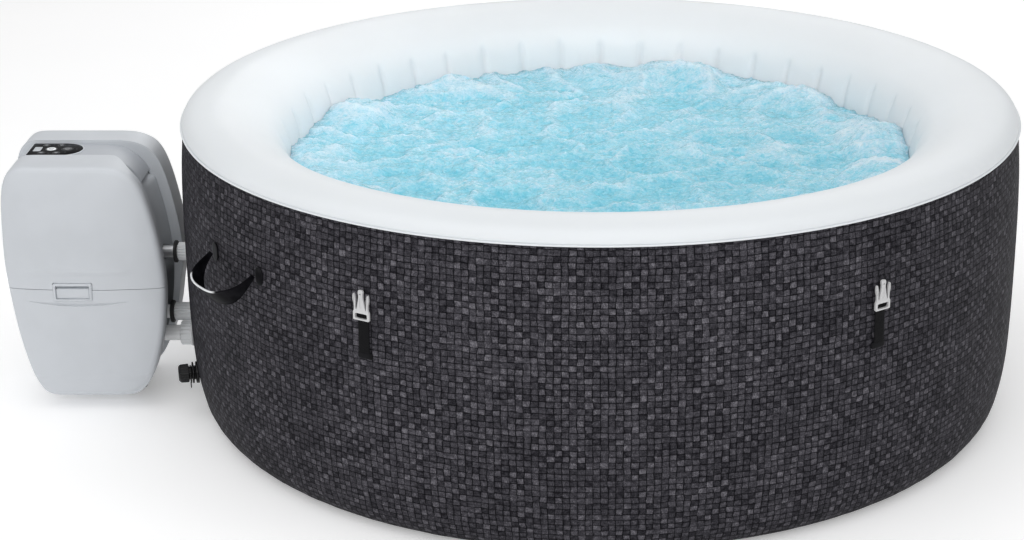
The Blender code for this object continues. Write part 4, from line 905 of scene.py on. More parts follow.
def water_height(x, y):
    """Height above the calm level and foam weight: swell, edge jets, chop and froth."""
    radius = math.hypot(x, y)
    az = math.atan2(y, x)
    swell = noise.noise(Vector((x * 3.1 + 5.0, y * 3.1, 0.3)))
    mid = noise.noise(Vector((x * 8.0, y * 9.5, 4.1)))
    ridge = 1 - abs(noise.noise(Vector((x * 6.5 + 1.7, y * 8.5 - 2.0, 9.0)))) * 2.0
    chop = noise.noise(Vector((x * 21, y * 27, 1.9)))
    billow = abs(noise.noise(Vector((x * 44, y * 52, 6.0))))
    froth = abs(noise.noise(Vector((x * 95, y * 105, 2.5))))
    jet_noise = noise.noise(Vector((math.cos(az) * 4.2 + 9, math.sin(az) * 4.2, 8.8)))
    jet = max(0.0, jet_noise + 0.15)
    edge = max(0.0, 1 - ((0.625 - radius) / 0.10) ** 2) if radius > 0.525 else 0.0
    height = (0.0060 * swell + 0.0100 * mid + 0.0085 * max(0.0, ridge) ** 3 + 0.0070 * chop
              + 0.0075 * billow + 0.0042 * froth)
    height += edge * (0.010 + 0.050 * jet)
    foam = (0.24 + 0.24 * edge * min(1.0, jet * 2.2 + 0.25) + 0.35 * max(0.0, ridge) ** 4
            + 0.30 * max(0.0, mid) + 0.28 * billow
            + 0.12 * float(smoothstep(radius, 0.42, 0.60)))
    foam += 0.16 * float(smoothstep(y, -0.35, 0.45)) - 0.12
    return height, foam


def make_water():
    """Square grid clipped to a circle, its border pushed to the wall, skirted and closed."""
    half = int(0.662 / WATER_STEP)
    ticks = np.arange(-half, half + 1) * WATER_STEP
    bm = bmesh.new()
    foam_layer = bm.verts.layers.float.new("foam")
    grid = {}
    for j, y in enumerate(ticks):
        for i, x in enumerate(ticks):
            if x * x + y * y <= WATER_GRID_R * WATER_GRID_R:
                height, foam = water_height(x, y)
                vert = bm.verts.new((x, y, WATER_Z + height))
                vert[foam_layer] = foam
                grid[(i, j)] = vert
    for (i, j), vert in grid.items():
        others = [grid.get(key) for key in ((i + 1, j), (i + 1, j + 1), (i, j + 1))]
        if None not in others:
            bm.faces.new([vert] + others)
    for vert in [v for v in bm.verts if not v.link_faces]:
        bm.verts.remove(vert)
    # the border follows the pillows and creases of the wall
    for vert in [v for v in bm.verts if v.is_boundary]:
        az = math.atan2(vert.co.y, vert.co.x)
        weight = float(crease_weight(az))
        radius = (WATER_EDGE_R + 0.0052 * weight ** 6 + 0.0030 * weight ** 26
                  - 0.0010 * (1 - weight ** 2))
        x, y = radius * math.cos(az), radius * math.sin(az)
        vert.co = Vector((x, y, WATER_Z + water_height(x, y)[0]))
    made = bmesh.ops.extrude_edge_only(bm, edges=[e for e in bm.edges if e.is_boundary])
    for vert in [g for g in made["geom"] if isinstance(g, bmesh.types.BMVert)]:
        vert.co.z = WATER_SKIRT_Z
        vert[foam_layer] = 0.3
    bmesh.ops.contextual_create(bm, geom=[e for e in bm.edges if e.is_boundary])
    water = solid("bubbling_water", bm, MATS["water"], None, None)
    settle = water.modifiers.new("settle", "SMOOTH")
    settle.factor = 0.35
    settle.iterations = 1
    mesh = baked_mesh(water)
    water.modifiers.clear()
    swap_mesh(water, mesh)
    shade(water)
    return water


book(make_water(), "tub")

# ================================================================ CAD pieces kept as they are
CAD_MATS = {
    "floor_liner": "white", "brace_bands": "brace", "air_jet_ring": "white",
    "outlet_wall_fitting": "pipe", "inlet_wall_fitting": "pipe", "air_wall_fitting": "pipe",
    "outlet_screen": "pipe", "filter_housing": "pipe", "filter_cartridge": "paper",
    "filter_cap": "pipe", "suction_pipe": "pipe", "circulation_pump": "core",
    "pump_motor": "motor", "pump_impeller": "pipe", "heater_tube": "steel",
    "air_blower": "motor", "blower_fan": "pipe", "air_port_pipe": "pipe",
    "control_board": "board", "door_hinge_rod": "steel",
}
for cad_name, mat_name in CAD_MATS.items():
    cad_node = NODES[cad_name]
    if not cad_node.material_slots:
        cad_node.data.materials.append(None)
    for material_slot in cad_node.material_slots:
        material_slot.material = MATS[mat_name]


def patch(name, frame, half_x, half_y, thick, power, quilt):
    """Welded black pad, low and superelliptic, that follows the round wall.

    quilt is the depth of the groove inside its edge.
    """
    rings, sink = 7, 0.0030
    outline = section(56, 2 / power, 2 / power)
    rows = []
    for k in range(rings + 1):
        share = k / rings
        taper = 1.0 - 0.94 * share ** 1.6
        height = -sink
        if k:
            height = (thick * (0.55 + 0.45 * math.sin(min(1.0, share * 2.2) * math.pi / 2))
                      - quilt * math.exp(-((taper - 0.80) / 0.05) ** 2))
        scale = 1.0 if k < 2 else taper
        row = []
        for unit_x, unit_y in outline:
            x = half_x * scale * unit_x
            y = half_y * scale * unit_y
            row.append(tuple(frame @ Vector((x, y, height - x * x / (2 * R_WALL)))))
        rows.append(row)
    return grid_mesh(name, np.array(rows), MATS["black_vinyl"], True, angle=50, cap=True)


# ================================================================ carry handles
HANDLE_AZ = {"left": -142.5, "right": 37.5}
HANDLE_R, HANDLE_Z = 0.907, 0.473
HANDLE_HALF = 0.084                   # half the span between the weld ends
HANDLE_REACH = 0.074                  # how far the loop stands off
HANDLE_DROOP = math.radians(41)


def handle_band(name, azimuth):
    """Moulded vinyl grip: a drooping loop with thick edges, narrowing to its two weld ends."""
    frame = wall_frame(azimuth, HANDLE_R, HANDLE_Z)
    reach = Vector((0, -math.sin(HANDLE_DROOP), math.cos(HANDLE_DROOP)))
    across = Vector((0, math.cos(HANDLE_DROOP), math.sin(HANDLE_DROOP)))
    steps = 110
    pts = []
    for i in range(steps + 1):
        angle = math.pi * i / steps
        along = HANDLE_HALF * signed_power(-math.cos(angle), 0.70)
        pts.append(Vector((along, 0, 0)) + reach * (HANDLE_REACH * math.sin(angle) ** 0.80))
    outline = section(36, 0.45, 0.55)
    rows, painted_highlight = [], []
    for i, point in enumerate(pts):
        ahead = (pts[min(i + 2, steps)] - pts[max(i - 2, 0)]).normalized()
        normal = ahead.cross(across).normalized()
        share = math.sin(math.pi * i / steps)
        half_width = 0.0048 + 0.0165 * min(1.0, share * 1.25) ** 1.1
        sag = 0.0008 * noise.noise(Vector((i * 0.045, azimuth, 1.0)))
        # painted highlight: the stretch of the loop whose top edge carries the near-white line
        lit = smoothstep(i / steps, 0.25, 0.29) * (1 - smoothstep(i / steps, 0.60, 0.66))
        row = []
        for unit_x, unit_y in outline:
            bead = 0.0012 * math.exp(-((abs(unit_x) - 0.93) / 0.06) ** 2)
            row.append(tuple(frame @ (point + across * (unit_x * half_width + sag)
                                      + normal * unit_y * (0.0017 + bead))))
            painted_highlight.append(float((unit_x > 0.90) * lit))
        rows.append(row)
    band = grid_mesh(name, np.array(rows), MATS["grip"], True, angle=60, cap=True)
    # weights of the painted highlight line, read by the grip material
    weights = band.data.attributes.new("painted_highlight", "FLOAT", "POINT")
    weights.data.foreach_set("value", painted_highlight)
    return band


for side_name, handle_az in HANDLE_AZ.items():
    handle = "handle_" + side_name
    book(handle_band("grip_" + side_name, handle_az), handle, "black_vinyl", handle)
    for tag, end in (("a", -1), ("b", 1)):
        pad_az = handle_az + math.degrees(end * (HANDLE_HALF + 0.004) / R_WALL)
        pad = patch("grip_pad_%s_%s" % (side_name, tag),
                    wall_frame(pad_az, R_WALL - 0.0008, HANDLE_Z - 0.002),
                    half_x=0.0125, half_y=0.0185, thick=0.0030, power=2.6, quilt=0.0005)
        book(pad, "tub", "black_vinyl")

# ================================================================ lid straps and buckles
STRAP_AZ = (-119.1, -54.5, 54.5, 119.1)
STRAP_R = R_WALL + 0.0048
STRAP_LOW, BUCKLE_LOW = 0.385, 0.452
STRAP_ROWS = 64
# millimetres (across, up): +X half of the buckle outline, from its foot to its top
BUCKLE_HALF_MM = [
    (18, 1.6), (18, 15.5), (17.2, 17.8), (16.0, 19.4), (15.4, 24), (15.6, 30), (16.8, 35),
    (17.8, 40), (17.9, 45), (17.3, 49.3), (16.0, 51.6), (14.4, 51.0), (13.0, 47.5), (12.0, 42),
    (11.8, 36), (12.2, 30), (12.2, 24.5), (11.7, 21.8), (10.6, 20.8), (9.5, 21.8), (8.0, 29),
    (6.2, 37), (4.9, 45), (4.7, 50), (5.5, 53), (5.5, 56.6), (4.4, 59.2), (1.8, 60.0)]
BUCKLE = [(x / 1000, y / 1000) for x, y in
          [(-16.4, 0), (16.4, 0)] + BUCKLE_HALF_MM + [(-x, y) for x, y in BUCKLE_HALF_MM[::-1]]]


def webbing(name, frame, number):
    """Woven tape: rises from the weld patch and threads forward through the buckle slot."""
    outline = section(40, 0.35, 0.6)
    heights = [0.0006 + 0.0794 * k / (STRAP_ROWS - 1) for k in range(STRAP_ROWS)]
    rows = []
    for y in heights:
        bow = 0.0007 * math.sin(y * 60 + number) * float(smoothstep(y, 0.0, 0.02))
        through = (float(smoothstep(y, 0.0690, 0.0735))
                   * (1 - float(smoothstep(y, 0.0765, 0.0800))))
        z = -0.0003 + bow * 0.6 + 0.0030 * through
        row = []
        for unit_x, unit_y in outline:
            wobble = 0.0002 * noise.noise(Vector((y * 90, unit_x * 2, number * 3.0)))
            x = unit_x * (0.0121 + wobble)
            row.append(tuple(frame @ Vector((x, y, z + unit_y * 0.00085
                                             - x * x / (2 * R_WALL)))))
        rows.append(row)
    across = np.array([0.0125 * unit_x for unit_x, _ in outline + outline[:1]])

    def uv(row, col):
        return np.stack([across[col], np.array(heights)[np.clip(row, 0, STRAP_ROWS - 1)]], -1)
    return grid_mesh(name, np.array(rows), MATS["webbing"], True, uvs=uv, angle=60, cap=True)


def make_buckle(name, frame):
    """Forked flat buckle with a strap slot, an eye and three shallow dishes."""
    clip = prism(name, BUCKLE, 0.0, 0.0055, MATS["buckle"], frame, 0.0010, 3, 40)
    eye = [(0.0017 * math.cos(a), 0.0017 * math.sin(a)) for a in turn(24)]
    dish = superbox(0.0012, 0.0100, 3.0, 24)
    # outline, x, y and floor height of each cut
    cuts = [(superbox(0.0136, 0.0054, 7.0, 40), 0, 0.0086, -0.003), (eye, 0, 0.0520, -0.003),
            (dish, -0.0149, 0.0410, 0.0043), (dish, 0.0149, 0.0410, 0.0043),
            (superbox(0.0022, 0.0105, 3.0, 24), 0, 0.0345, 0.0047)]
    for outline, x, y, floor in cuts:
        carve(clip, prism("tool", outline, floor, 0.010, MATS["buckle"],
                          frame @ Matrix.Translation((x, y, 0)), soft=0))
    shade(clip, 38)
    return clip


for number, strap_az in enumerate(STRAP_AZ, 1):
    buckle = "buckle_%d" % number
    strap_frame = wall_frame(strap_az, STRAP_R, STRAP_LOW)
    tape = webbing("webbing_%d" % number, strap_frame, number)
    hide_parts("lid_strap_%d" % number)
    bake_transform(tape)
    weld = patch("strap_patch_%d" % number,
                 wall_frame(strap_az, R_WALL - 0.0004, STRAP_LOW - 0.0060),
                 half_x=0.0165, half_y=0.0072, thick=0.0034, power=5.0, quilt=0.0004)
    book(weld, "tub", "black_vinyl")
    book(make_buckle("clip_%d" % number, wall_frame(strap_az, R_WALL + 0.0066, BUCKLE_LOW)),
         buckle, "buckle_plastic", "lid_" + buckle)

# ================================================================ hose unions
HOSE_YZ = {"outlet": (-0.060, 0.3195), "inlet": (-0.050, 0.1752), "air": (-0.070, 0.1323)}
# hose: (x start, x end, radius, bore, ribs)
NUTS = {"outlet": (-0.9212, -0.9012, 0.0200, 0.0167, 20),
        "inlet": (-0.9386, -0.9015, 0.0200, 0.0167, 20),
        "air": (-0.9240, -0.9005, 0.0265, 0.0185, 18)}
# hose: (x start, x end, radius)
SEALS = {"outlet": (-0.9290, -0.9222, 0.0245), "inlet": (-0.9470, -0.9396, 0.0250)}
COLLAR_R = {"outlet": 0.0250, "inlet": 0.0250, "air": 0.0290}


def union_nut(name, start, end, radius, bore, ribs, frame):
    profile = [(bore, start), (radius - 0.0042, start), (radius - 0.0024, start + 0.0004),
               (radius - 0.0010, start + 0.0016), (radius - 0.0008, start + 0.0026)]
    profile += [(radius - 0.0008, start + 0.0026 + (end - start - 0.0052) * share)
                for share in (0.25, 0.5, 0.75, 1.0)]
    profile += [(radius - 0.0010, end - 0.0016), (radius - 0.0024, end - 0.0004),
                (radius - 0.0042, end), (bore, end), (bore, (start + end) / 2)]
    return lathe(name, profile, MATS["nut"], frame, ribs * 12, 42,
                 ribbed(ribs, 0.0009, list(range(3, 10))))


HOSE_FRAMES = {hose: along_x(0, y, z) for hose, (y, z) in HOSE_YZ.items()}
for hose, nut_sizes in NUTS.items():
    book(union_nut(hose + "_nut_ribbed", *nut_sizes, HOSE_FRAMES[hose]), hose + "_nut",
         "pipe_plastic", hose + "_union_nut")
for hose, (start, end, radius) in SEALS.items():
    seal_profile = rounded(ring_profile(0.0162, radius, start, end), 0.0022, 5)
    book(lathe(hose + "_seal_ring", seal_profile, MATS["rubber"], HOSE_FRAMES[hose], 72, 60),
         "tub", "black_rubber", hose + "_seal")
# thin collars where the hoses enter the wall
for hose, radius in COLLAR_R.items():
    collar_profile = rounded([(radius - 0.0080, -0.9006), (radius, -0.9006), (radius, -0.8975),
                              (radius - 0.0080, -0.8900)], 0.0012, 4)
    book(lathe(hose + "_wall_collar", collar_profile, MATS["pipe"], HOSE_FRAMES[hose], 72, 50),
         "tub", "pipe_plastic")

# ================================================================ drain valve
DRAIN_FRAME = wall_frame(194.0, 0, 0.100)
# profiles here and below: (radius about the valve axis, distance from the tub axis)
DRAIN_FLANGE = [(0.0085, 0.8900), (0.0235, 0.8900), (0.0235, 0.8965), (0.0150, 0.8975),
                (0.0150, 0.9000), (0.0235, 0.9008), (0.0235, 0.9040), (0.0140, 0.9048),
                (0.0140, 0.9235), (0.0085, 0.9235)]
DRAIN_CAP = [(0.0005, 0.9330), (0.0100, 0.9330), (0.0125, 0.9318), (0.0150, 0.9330),
             (0.0186, 0.9302), (0.0192, 0.9270), (0.0194, 0.9230), (0.0196, 0.9190),
             (0.0198, 0.9150), (0.0198, 0.9122), (0.0150, 0.9104), (0.0147, 0.9240),
             (0.0005, 0.9250)]


def tether_loop(name, count, radius_x, radius_y, y, z, thick, sides):
    """Closed elliptical cord lying across the drain axis."""
    angles = [2 * math.pi * k / count for k in range(count)]
    path = [tuple(DRAIN_FRAME @ Vector((radius_x * math.cos(a), y + radius_y * math.sin(a), z)))
            for a in angles]
    return tube_along(name, path, thick, MATS["valve"], sides, True)


book(lathe("drain_flange", rounded(DRAIN_FLANGE, 0.0009, 3), MATS["valve"], DRAIN_FRAME, 96),
     "tub", "black_vinyl", "drain_valve_body")
book(lathe("drain_cap_ribbed", DRAIN_CAP, MATS["valve"], DRAIN_FRAME, 288,
           bumps=ribbed(24, 0.0005, [5, 6, 7, 8, 9])),
     "drain_cap", "black_vinyl", "drain_valve_cap")
tether = join([tether_loop("tether_ring", 72, 0.0195, 0.0195, -0.0035, 0.9074, 0.0012, 12),
               tether_loop("tether_tab", 40, 0.0058, 0.0062, -0.0282, 0.9080, 0.0011, 10)],
              "cap_tether")
shade(tether)
book(tether, "tub", "black_vinyl", "drain_cap_tether")

# ================================================================ inflation valve
VALVE_FRAME = wall_frame(165.0, 0, 0.450)
VALVE_FLANGE = [(0.0140, 0.8900), (0.0320, 0.8900), (0.0320, 0.9022), (0.0300, 0.9034),
                (0.0245, 0.9040), (0.0232, 0.9052), (0.0140, 0.9052)]
VALVE_LID = [(0.0004, 0.9057), (0.0215, 0.9057), (0.0225, 0.9072), (0.0222, 0.9090),
             (0.0200, 0.9110), (0.0150, 0.9104), (0.0138, 0.9110), (0.0004, 0.9110)]
vinyl = MATS["black_vinyl"]
book(lathe("valve_flange", rounded(VALVE_FLANGE, 0.0010, 4), vinyl, VALVE_FRAME, 96),
     "tub", "black_vinyl", "inflation_valve_body")
barrel_frame = VALVE_FRAME @ along_x(0, 0.0300, 0.9075)
lid = join([
    lathe("valve_lid_disc", rounded(VALVE_LID, 0.0006, 3), vinyl, VALVE_FRAME, 96),
    box("valve_tab", (-0.0060, 0.0190, 0.9062), (0.0060, 0.0300, 0.9083), vinyl, 0.0008,
        VALVE_FRAME),
    lathe("valve_barrel", rounded(ring_profile(0.0003, 0.0020, -0.007, 0.007), 0.0005, 2),
          vinyl, barrel_frame, 32),
    box("valve_pull", (-0.0045, -0.0270, 0.9068), (0.0045, -0.0190, 0.9086), vinyl, 0.0008,
        VALVE_FRAME)], "valve_lid")
shade(lid, 40)
book(lid, "inflation_cap", "black_vinyl", "inflation_valve_cap")

# ================================================================ equipment unit: outline
UNIT_X, MID_Z, HALF_W, HALF_H = -1.098, 0.2925, 0.170, 0.2615
BASE_Z = 0.030               # underside of the covers
SPLIT_Z = 0.285              # joint between the upper front cover and the door
DECK_TOP = MID_Z + HALF_H - 0.004
# millimetres (x from UNIT_X, z), clockwise seen from the front, starting at the top
OUTLINE_MM = [(-112, 554), (-25, 554), (55, 554), (92, 546), (118, 528), (136, 494), (152, 436),
              (164, 368), (170, 300), (167, 235), (158, 170), (142, 110), (121, 64), (94, 37),
              (60, 30), (-10, 30), (-90, 31), (-115, 50), (-134, 100), (-152, 180), (-164, 270),
              (-170, 345), (-169, 430), (-165, 490), (-155, 529), (-138, 549)]


def unit_outline(per, step):
    """Closed smooth outline, held between base and top, evenly spaced and relaxed."""
    pts = np.array(OUTLINE_MM, float) / 1000
    count = len(pts)
    curve = np.array([spline_point(pts[i - 1], pts[i], pts[(i + 1) % count],
                                   pts[(i + 2) % count], k / per)
                      for i in range(count) for k in range(per)])
    curve[:, 1] = np.clip(curve[:, 1], BASE_Z, MID_Z + HALF_H)
    curve = resample(np.vstack([curve, curve[:1]]), step)[:-1]
    for _ in range(3):
        curve = 0.5 * curve + 0.25 * (np.roll(curve, 1, 0) + np.roll(curve, -1, 0))
    return curve


OUTLINE = unit_outline(9, 0.0062)


def inset(pts, depth):
    """Outline points moved in by depth (one value, or one per point)."""
    return np.stack([pts[:, 0] * (1 - depth / HALF_W),
                     MID_Z + (pts[:, 1] - MID_Z) * (1 - depth / HALF_H)], -1)


def at_y(pts, y):
    """(x, z) points of the unit placed in the plane y."""
    return np.stack([UNIT_X + pts[:, 0], np.full(len(pts), y), pts[:, 1]], -1)


def unit_ring(y, depth):
    return at_y(inset(OUTLINE, depth), y)


# ================================================================ covers
COVER_EDGE_Y = -0.1030
# (y, inset) from each cover's open edge to its face
FRONT_STEPS = [(COVER_EDGE_Y, 0.0018), (-0.1036, 0.0006), (-0.1048, 0.0), (-0.1200, 0.0),
               (-0.1500, 0.0), (-0.1700, 0.0001), (-0.1800, 0.0003), (-0.1852, 0.0011),
               (-0.1886, 0.0025), (-0.1915, 0.0050), (-0.1938, 0.0088), (-0.1957, 0.0145),
               (-0.1990, 0.0310), (-0.2022, 0.0550), (-0.2050, 0.0880), (-0.2070, 0.1150),
               (-0.2077, 0.1350), (-0.2080, 0.1550)]
REAR_STEPS = [(-0.0130, 0.0018), (-0.0124, 0.0006), (-0.0112, 0.0), (0.0100, 0.0), (0.0350, 0.0),
              (0.0520, 0.0001), (0.0610, 0.0007), (0.0662, 0.0024), (0.0698, 0.0055),
              (0.0725, 0.0100), (0.0745, 0.0155), (0.0775, 0.0260), (0.0802, 0.0400),
              (0.0826, 0.0700), (0.0845, 0.1000), (0.0853, 0.1300), (0.0855, 0.1550)]
# (y, inset) round the turned-in front lip of the rear cover
REAR_LIP = [(-0.0128, 0.0016), (-0.0133, 0.0030), (-0.0135, 0.0070), (-0.0135, 0.0120),
            (-0.0135, 0.0220), (-0.0133, 0.0300), (-0.0112, 0.0320), (-0.0108, 0.0160),
            (-0.0112, 0.0030)]
# on the tub side the flank behind FLANK_Y is shortened to end at FLANK_EDGE
FLANK_Y, FLANK_EDGE = -0.1840, -0.1640
# x from UNIT_X over which pieces change to their tub-side shape
TUB_SIDE = (0.058, 0.118)


def front_relief(x, z):
    """Soft modelling of the front face: ridge above the split, dip under it, set-back foot."""
    off = x - (UNIT_X - 0.012)
    ridge = (-0.0024 * np.exp(-((z - 0.3255 + 0.10 * off * off) / 0.0050) ** 2)
             * (1 - smoothstep(np.abs(off), 0.085, 0.125)))
    dip = (0.0009 * np.exp(-((z - 0.3160) / 0.0080) ** 2)
           * (1 - smoothstep(np.abs(off), 0.080, 0.12)))
    foot = (0.0070 * smoothstep(0.0790 - z, 0.0, 0.055)
            + 0.0034 * smoothstep(0.0790 - z, -0.0018, 0.0018))
    return ridge + dip + foot


def trim_flank(rows):
    """Cuts the front cover back on the tub side: its flank ends close behind the face."""
    out = np.array(rows, float)
    weight = smoothstep(out[..., 0] - UNIT_X, *TUB_SIDE)
    y = out[..., 1]
    shrink = (FLANK_EDGE - FLANK_Y) / (COVER_EDGE_Y - FLANK_Y)
    short = FLANK_Y + (y - FLANK_Y) * shrink
    out[..., 1] = np.where(y > FLANK_Y, y + (short - y) * weight, y)
    return out


def flare(rows):
    """Lets the rear cover stand a little proud along the top and both upper sides."""
    out = np.array(rows, float)
    x, z = out[..., 0] - UNIT_X, out[..., 2]
    out[..., 0] = (out[..., 0] + 0.0085 * smoothstep(x, 0.0, 0.10) * smoothstep(z, 0.20, 0.32)
                   - 0.0075 * smoothstep(-x, 0.04, 0.13) * smoothstep(z, 0.40, 0.52))
    out[..., 2] = z + 0.0045 * smoothstep(z, 0.40, 0.54)
    return out


def cover_shell(name, steps, thick, front):
    """Dished half-shell with a real wall: outer skin, inner skin and the rim between them."""
    sign = -1.0 if front else 1.0
    reshape = trim_flank if front else flare
    edge_y, edge_inset = steps[0]
    outer = smooth_curve(steps, 4)
    skin = [unit_ring(y, depth) for y, depth in outer]
    face = skin[-1]
    hub = face.mean(0)
    skin += [hub + (face - hub) * t for t in [1 - k / 30 for k in range(1, 30)] + [0.01]]
    skin = np.array(skin)
    if front:
        on_face = smoothstep(sign * (skin[..., 1] - edge_y), 0.070, 0.092)
        skin[..., 1] += front_relief(skin[..., 0], skin[..., 2]) * on_face
    inner = []
    for y, depth in outer[::-1]:
        gap = thick * (0.2 if abs(y - edge_y) < 0.004 else 1.0)
        inner.append(unit_ring(y - sign * gap, depth + thick))
    inner[-1] = unit_ring(edge_y, edge_inset + thick)
    inner_hub = inner[0].mean(0)
    inner = [inner_hub + (inner[0] - inner_hub) * t for t in (0.05, 0.5)] + inner
    rows = np.concatenate([reshape(skin)[::-1], reshape(inner)[::-1]])
    return grid_mesh(name, rows, MATS["case"], True, angle=48, cap=True)


def groove_cutter(shell):
    """Long curved finger groove under the catch: a spindle that follows the front face."""
    bm = bmesh.new()
    bm.from_mesh(shell.data)
    tree = BVHTree.FromBMesh(bm)
    rows = []
    for k in range(61):
        x = -1.2200 + 0.2140 * k / 60
        share = (x + 1.1130) / 0.1070
        z = 0.2512 + 0.0066 * share * share
        hit = tree.ray_cast(Vector((x, -0.5, z)), Vector((0, 1, 0)))[0]
        y = (hit.y if hit is not None else -0.19) - 0.0002
        radius = 0.0006 + 0.0030 * (1 - share * share) ** 0.8 if abs(share) < 1 else 0.0006
        rows.append([(x, y + 0.93 * radius * math.sin(a), z + 0.86 * radius * math.cos(a))
                     for a in turn(16)])
    bm.free()
    return grid_mesh("tool", np.array(rows), MATS["case"], True, cap=True)


CATCH_X = -1.122
CATCH_X0, CATCH_X1 = CATCH_X - 0.042, CATCH_X + 0.042
CATCH_Z0, CATCH_Z1 = 0.2605, 0.3005
HINGE_Y, HINGE_Z = -0.0975, 0.030
case = MATS["case"]

# the front shell is cut at SPLIT_Z into the upper cover and the door below it
shell = cover_shell("front_cover_shell", FRONT_STEPS, 0.0036, front=True)
finger_groove = groove_cutter(shell)
door = link("door_shell", shell.data.copy(), None)
carve(door, box("tool", (-1.6, -0.5, SPLIT_Z - 0.0006), (-0.6, 0.3, 1.0), case, 0))
carve(shell, box("tool", (-1.6, -0.5, -0.3), (-0.6, 0.3, SPLIT_Z + 0.0006), case, 0))
carve(shell, box("tool", (CATCH_X0 - 0.0007, -0.25, 0.20),
                 (CATCH_X1 + 0.0007, -0.190, CATCH_Z1 + 0.0007), case, 0.0030))
carve(door, finger_groove)
shade(door, 32)
shade(shell, 32)

# catch: raised frame with a sunk pocket
bezel = box("catch_frame", (CATCH_X0, -0.2118, CATCH_Z0), (CATCH_X1, -0.1975, CATCH_Z1),
            case, 0.0046, None, 6)
carve(bezel, box("tool", (CATCH_X0 + 0.0060, -0.230, CATCH_Z0 + 0.0052),
                 (CATCH_X1 - 0.0060, -0.2018, CATCH_Z1 - 0.0048), case, 0.0014, None, 3))
shade(bezel, 35)
knuckle_profile = rounded(ring_profile(0.0029, 0.0075, -0.006, 0.006), 0.0008, 3)
knuckles = [lathe("door_knuckle", knuckle_profile, case, along_x(x, HINGE_Y, HINGE_Z), 40)
            for x in (-1.160, -1.036)]
door = join([door, bezel] + knuckles, "access_door_shell")
shade(door, 32)
book(door, "access_door", "case_plastic", "pump_access_door")
book(shell, "tub", "case_plastic", "pump_front_cover")
slider = box("catch_slider", (CATCH_X0 + 0.0074, -0.2094, CATCH_Z0 + 0.0064),
             (CATCH_X1 - 0.0074, -0.2030, CATCH_Z1 - 0.0112), case, 0.0016)
shade(slider, 35)
book(slider, "latch", "case_plastic", "latch_slider")

# rear cover with seven slots in its back
rear = cover_shell("rear_cover_shell", REAR_STEPS, 0.0030, front=False)
for k in range(7):
    slot_z = 0.400 + 0.0135 * k
    carve(rear, box("tool", (UNIT_X - 0.070 + 0.002 * k, 0.0812, slot_z - 0.0028),
                    (UNIT_X + 0.070 - 0.002 * k, 0.100, slot_z + 0.0028), case, 0.0012, None, 2))
lip_rows = np.array([unit_ring(y, depth) for y, depth in REAR_LIP])
rear_lip = grid_mesh("rear_lip", flare(lip_rows), case, True, True, angle=40)
rear = join([rear, rear_lip], "rear_cover_shell")
shade(rear, 32)
book(rear, "tub", "case_plastic", "pump_rear_cover")

# ================================================================ core and deck
CORE_FRONT, CORE_REAR = -0.1024, -0.0136
PORT_R = {"outlet": 0.0172, "inlet": 0.0170, "air": 0.0190}


def deck_depth(pts):
    """How far the deck lies inside the outline; more towards the tub."""
    return 0.0040 + 0.0130 * smoothstep(pts[:, 0], 0.020, 0.125)


def core_depth(pts):
    """How far the core lies inside the outline."""
    x, z = pts[:, 0], pts[:, 1]
    waist = smoothstep(0.491 - z, 0.0, 0.05) * smoothstep(z, 0.065, 0.115)
    tub_half = np.maximum(0.0140 + 0.020 * waist, deck_depth(pts) + 0.0090)
    outer_flank = smoothstep(-x, 0.06, 0.10) * smoothstep(0.507 - z, 0.0, 0.02)
    return np.where(x > 0, tub_half, 0.0140 - 0.0110 * outer_flank)


def make_core():
    """Band between the covers, hollowed on the tub side and bored for the hoses."""
    depth = core_depth(OUTLINE)
    tub_side = smoothstep(OUTLINE[:, 0], *TUB_SIDE)
    under_deck = smoothstep(OUTLINE[:, 1], 0.486, 0.506)
    low_part = smoothstep(0.30 - OUTLINE[:, 1], 0.0, 0.01)
    tub_front = FLANK_EDGE + 0.0008
    outer, inner = [], []
    for t in np.linspace(0, 1, 34):
        y_plain = CORE_FRONT + (CORE_REAR - CORE_FRONT) * t
        y_tub = tub_front + (CORE_REAR - FLANK_EDGE - 0.0008) * t
        hollow = 0.0052 + 0.0078 * t + 0.0150 * math.sin(math.pi * min(1.0, t * 1.06))
        hollow = hollow + (np.maximum(hollow, deck_depth(OUTLINE) + 0.0075)
                           - hollow) * under_deck
        full = depth * (1 - tub_side) + hollow * tub_side
        bead = 0.0012 * math.exp(-((t - 0.55) / 0.02) ** 2) * low_part * tub_side
        for ring_depth, rows in ((full + bead, outer), (full + 0.0030, inner)):
            ring = unit_ring(0.0, ring_depth)
            ring[:, 1] = y_plain + (y_tub - y_plain) * tub_side
            rows.append(ring)
    core = grid_mesh("core_band", np.array(outer + inner[::-1]), MATS["flank"], True, True,
                     angle=45)
    for hose, radius in PORT_R.items():
        carve(core, round_cutter(radius, -1.02, -0.90, MATS["core"], HOSE_FRAMES[hose], 40))
    shade(core, 35)
    return core


def make_deck():
    """Deck over the top, with the opening under the panel."""
    count = len(OUTLINE)
    first = min(i for i in range(count // 2 + 1, count)
                if OUTLINE[i, 0] < 0 and OUTLINE[i, 1] > 0.511)
    last = max(i for i in range(count) if OUTLINE[i, 0] >= 0 and OUTLINE[i, 1] > 0.507)
    run = OUTLINE[list(range(first, count)) + list(range(last + 1))]
    depth = deck_depth(run)
    top, under = inset(run, depth), inset(run, depth + 0.0050)
    front, rear_y = CORE_FRONT + 0.0002, CORE_REAR - 0.0002
    middle = (-0.095, -0.070, -0.046, -0.022)
    drop = top - np.array([0, 0.0006])
    rows = [at_y(drop, front)]
    rows += [at_y(top, y) for y in (CORE_FRONT + 0.0010, *middle, CORE_REAR - 0.0010)]
    rows.append(at_y(drop, rear_y))
    rows += [at_y(under, y) for y in (rear_y, *middle[::-1], front)]
    deck = grid_mesh("top_deck_skin", np.array(rows).transpose(1, 0, 2), MATS["deck"], True,
                     angle=45, cap=True)
    carve(deck, box("tool", (-1.2175, -0.0925, 0.50), (-1.1285, -0.0235, 0.60), case, 0))
    shade(deck, 35)
    return deck


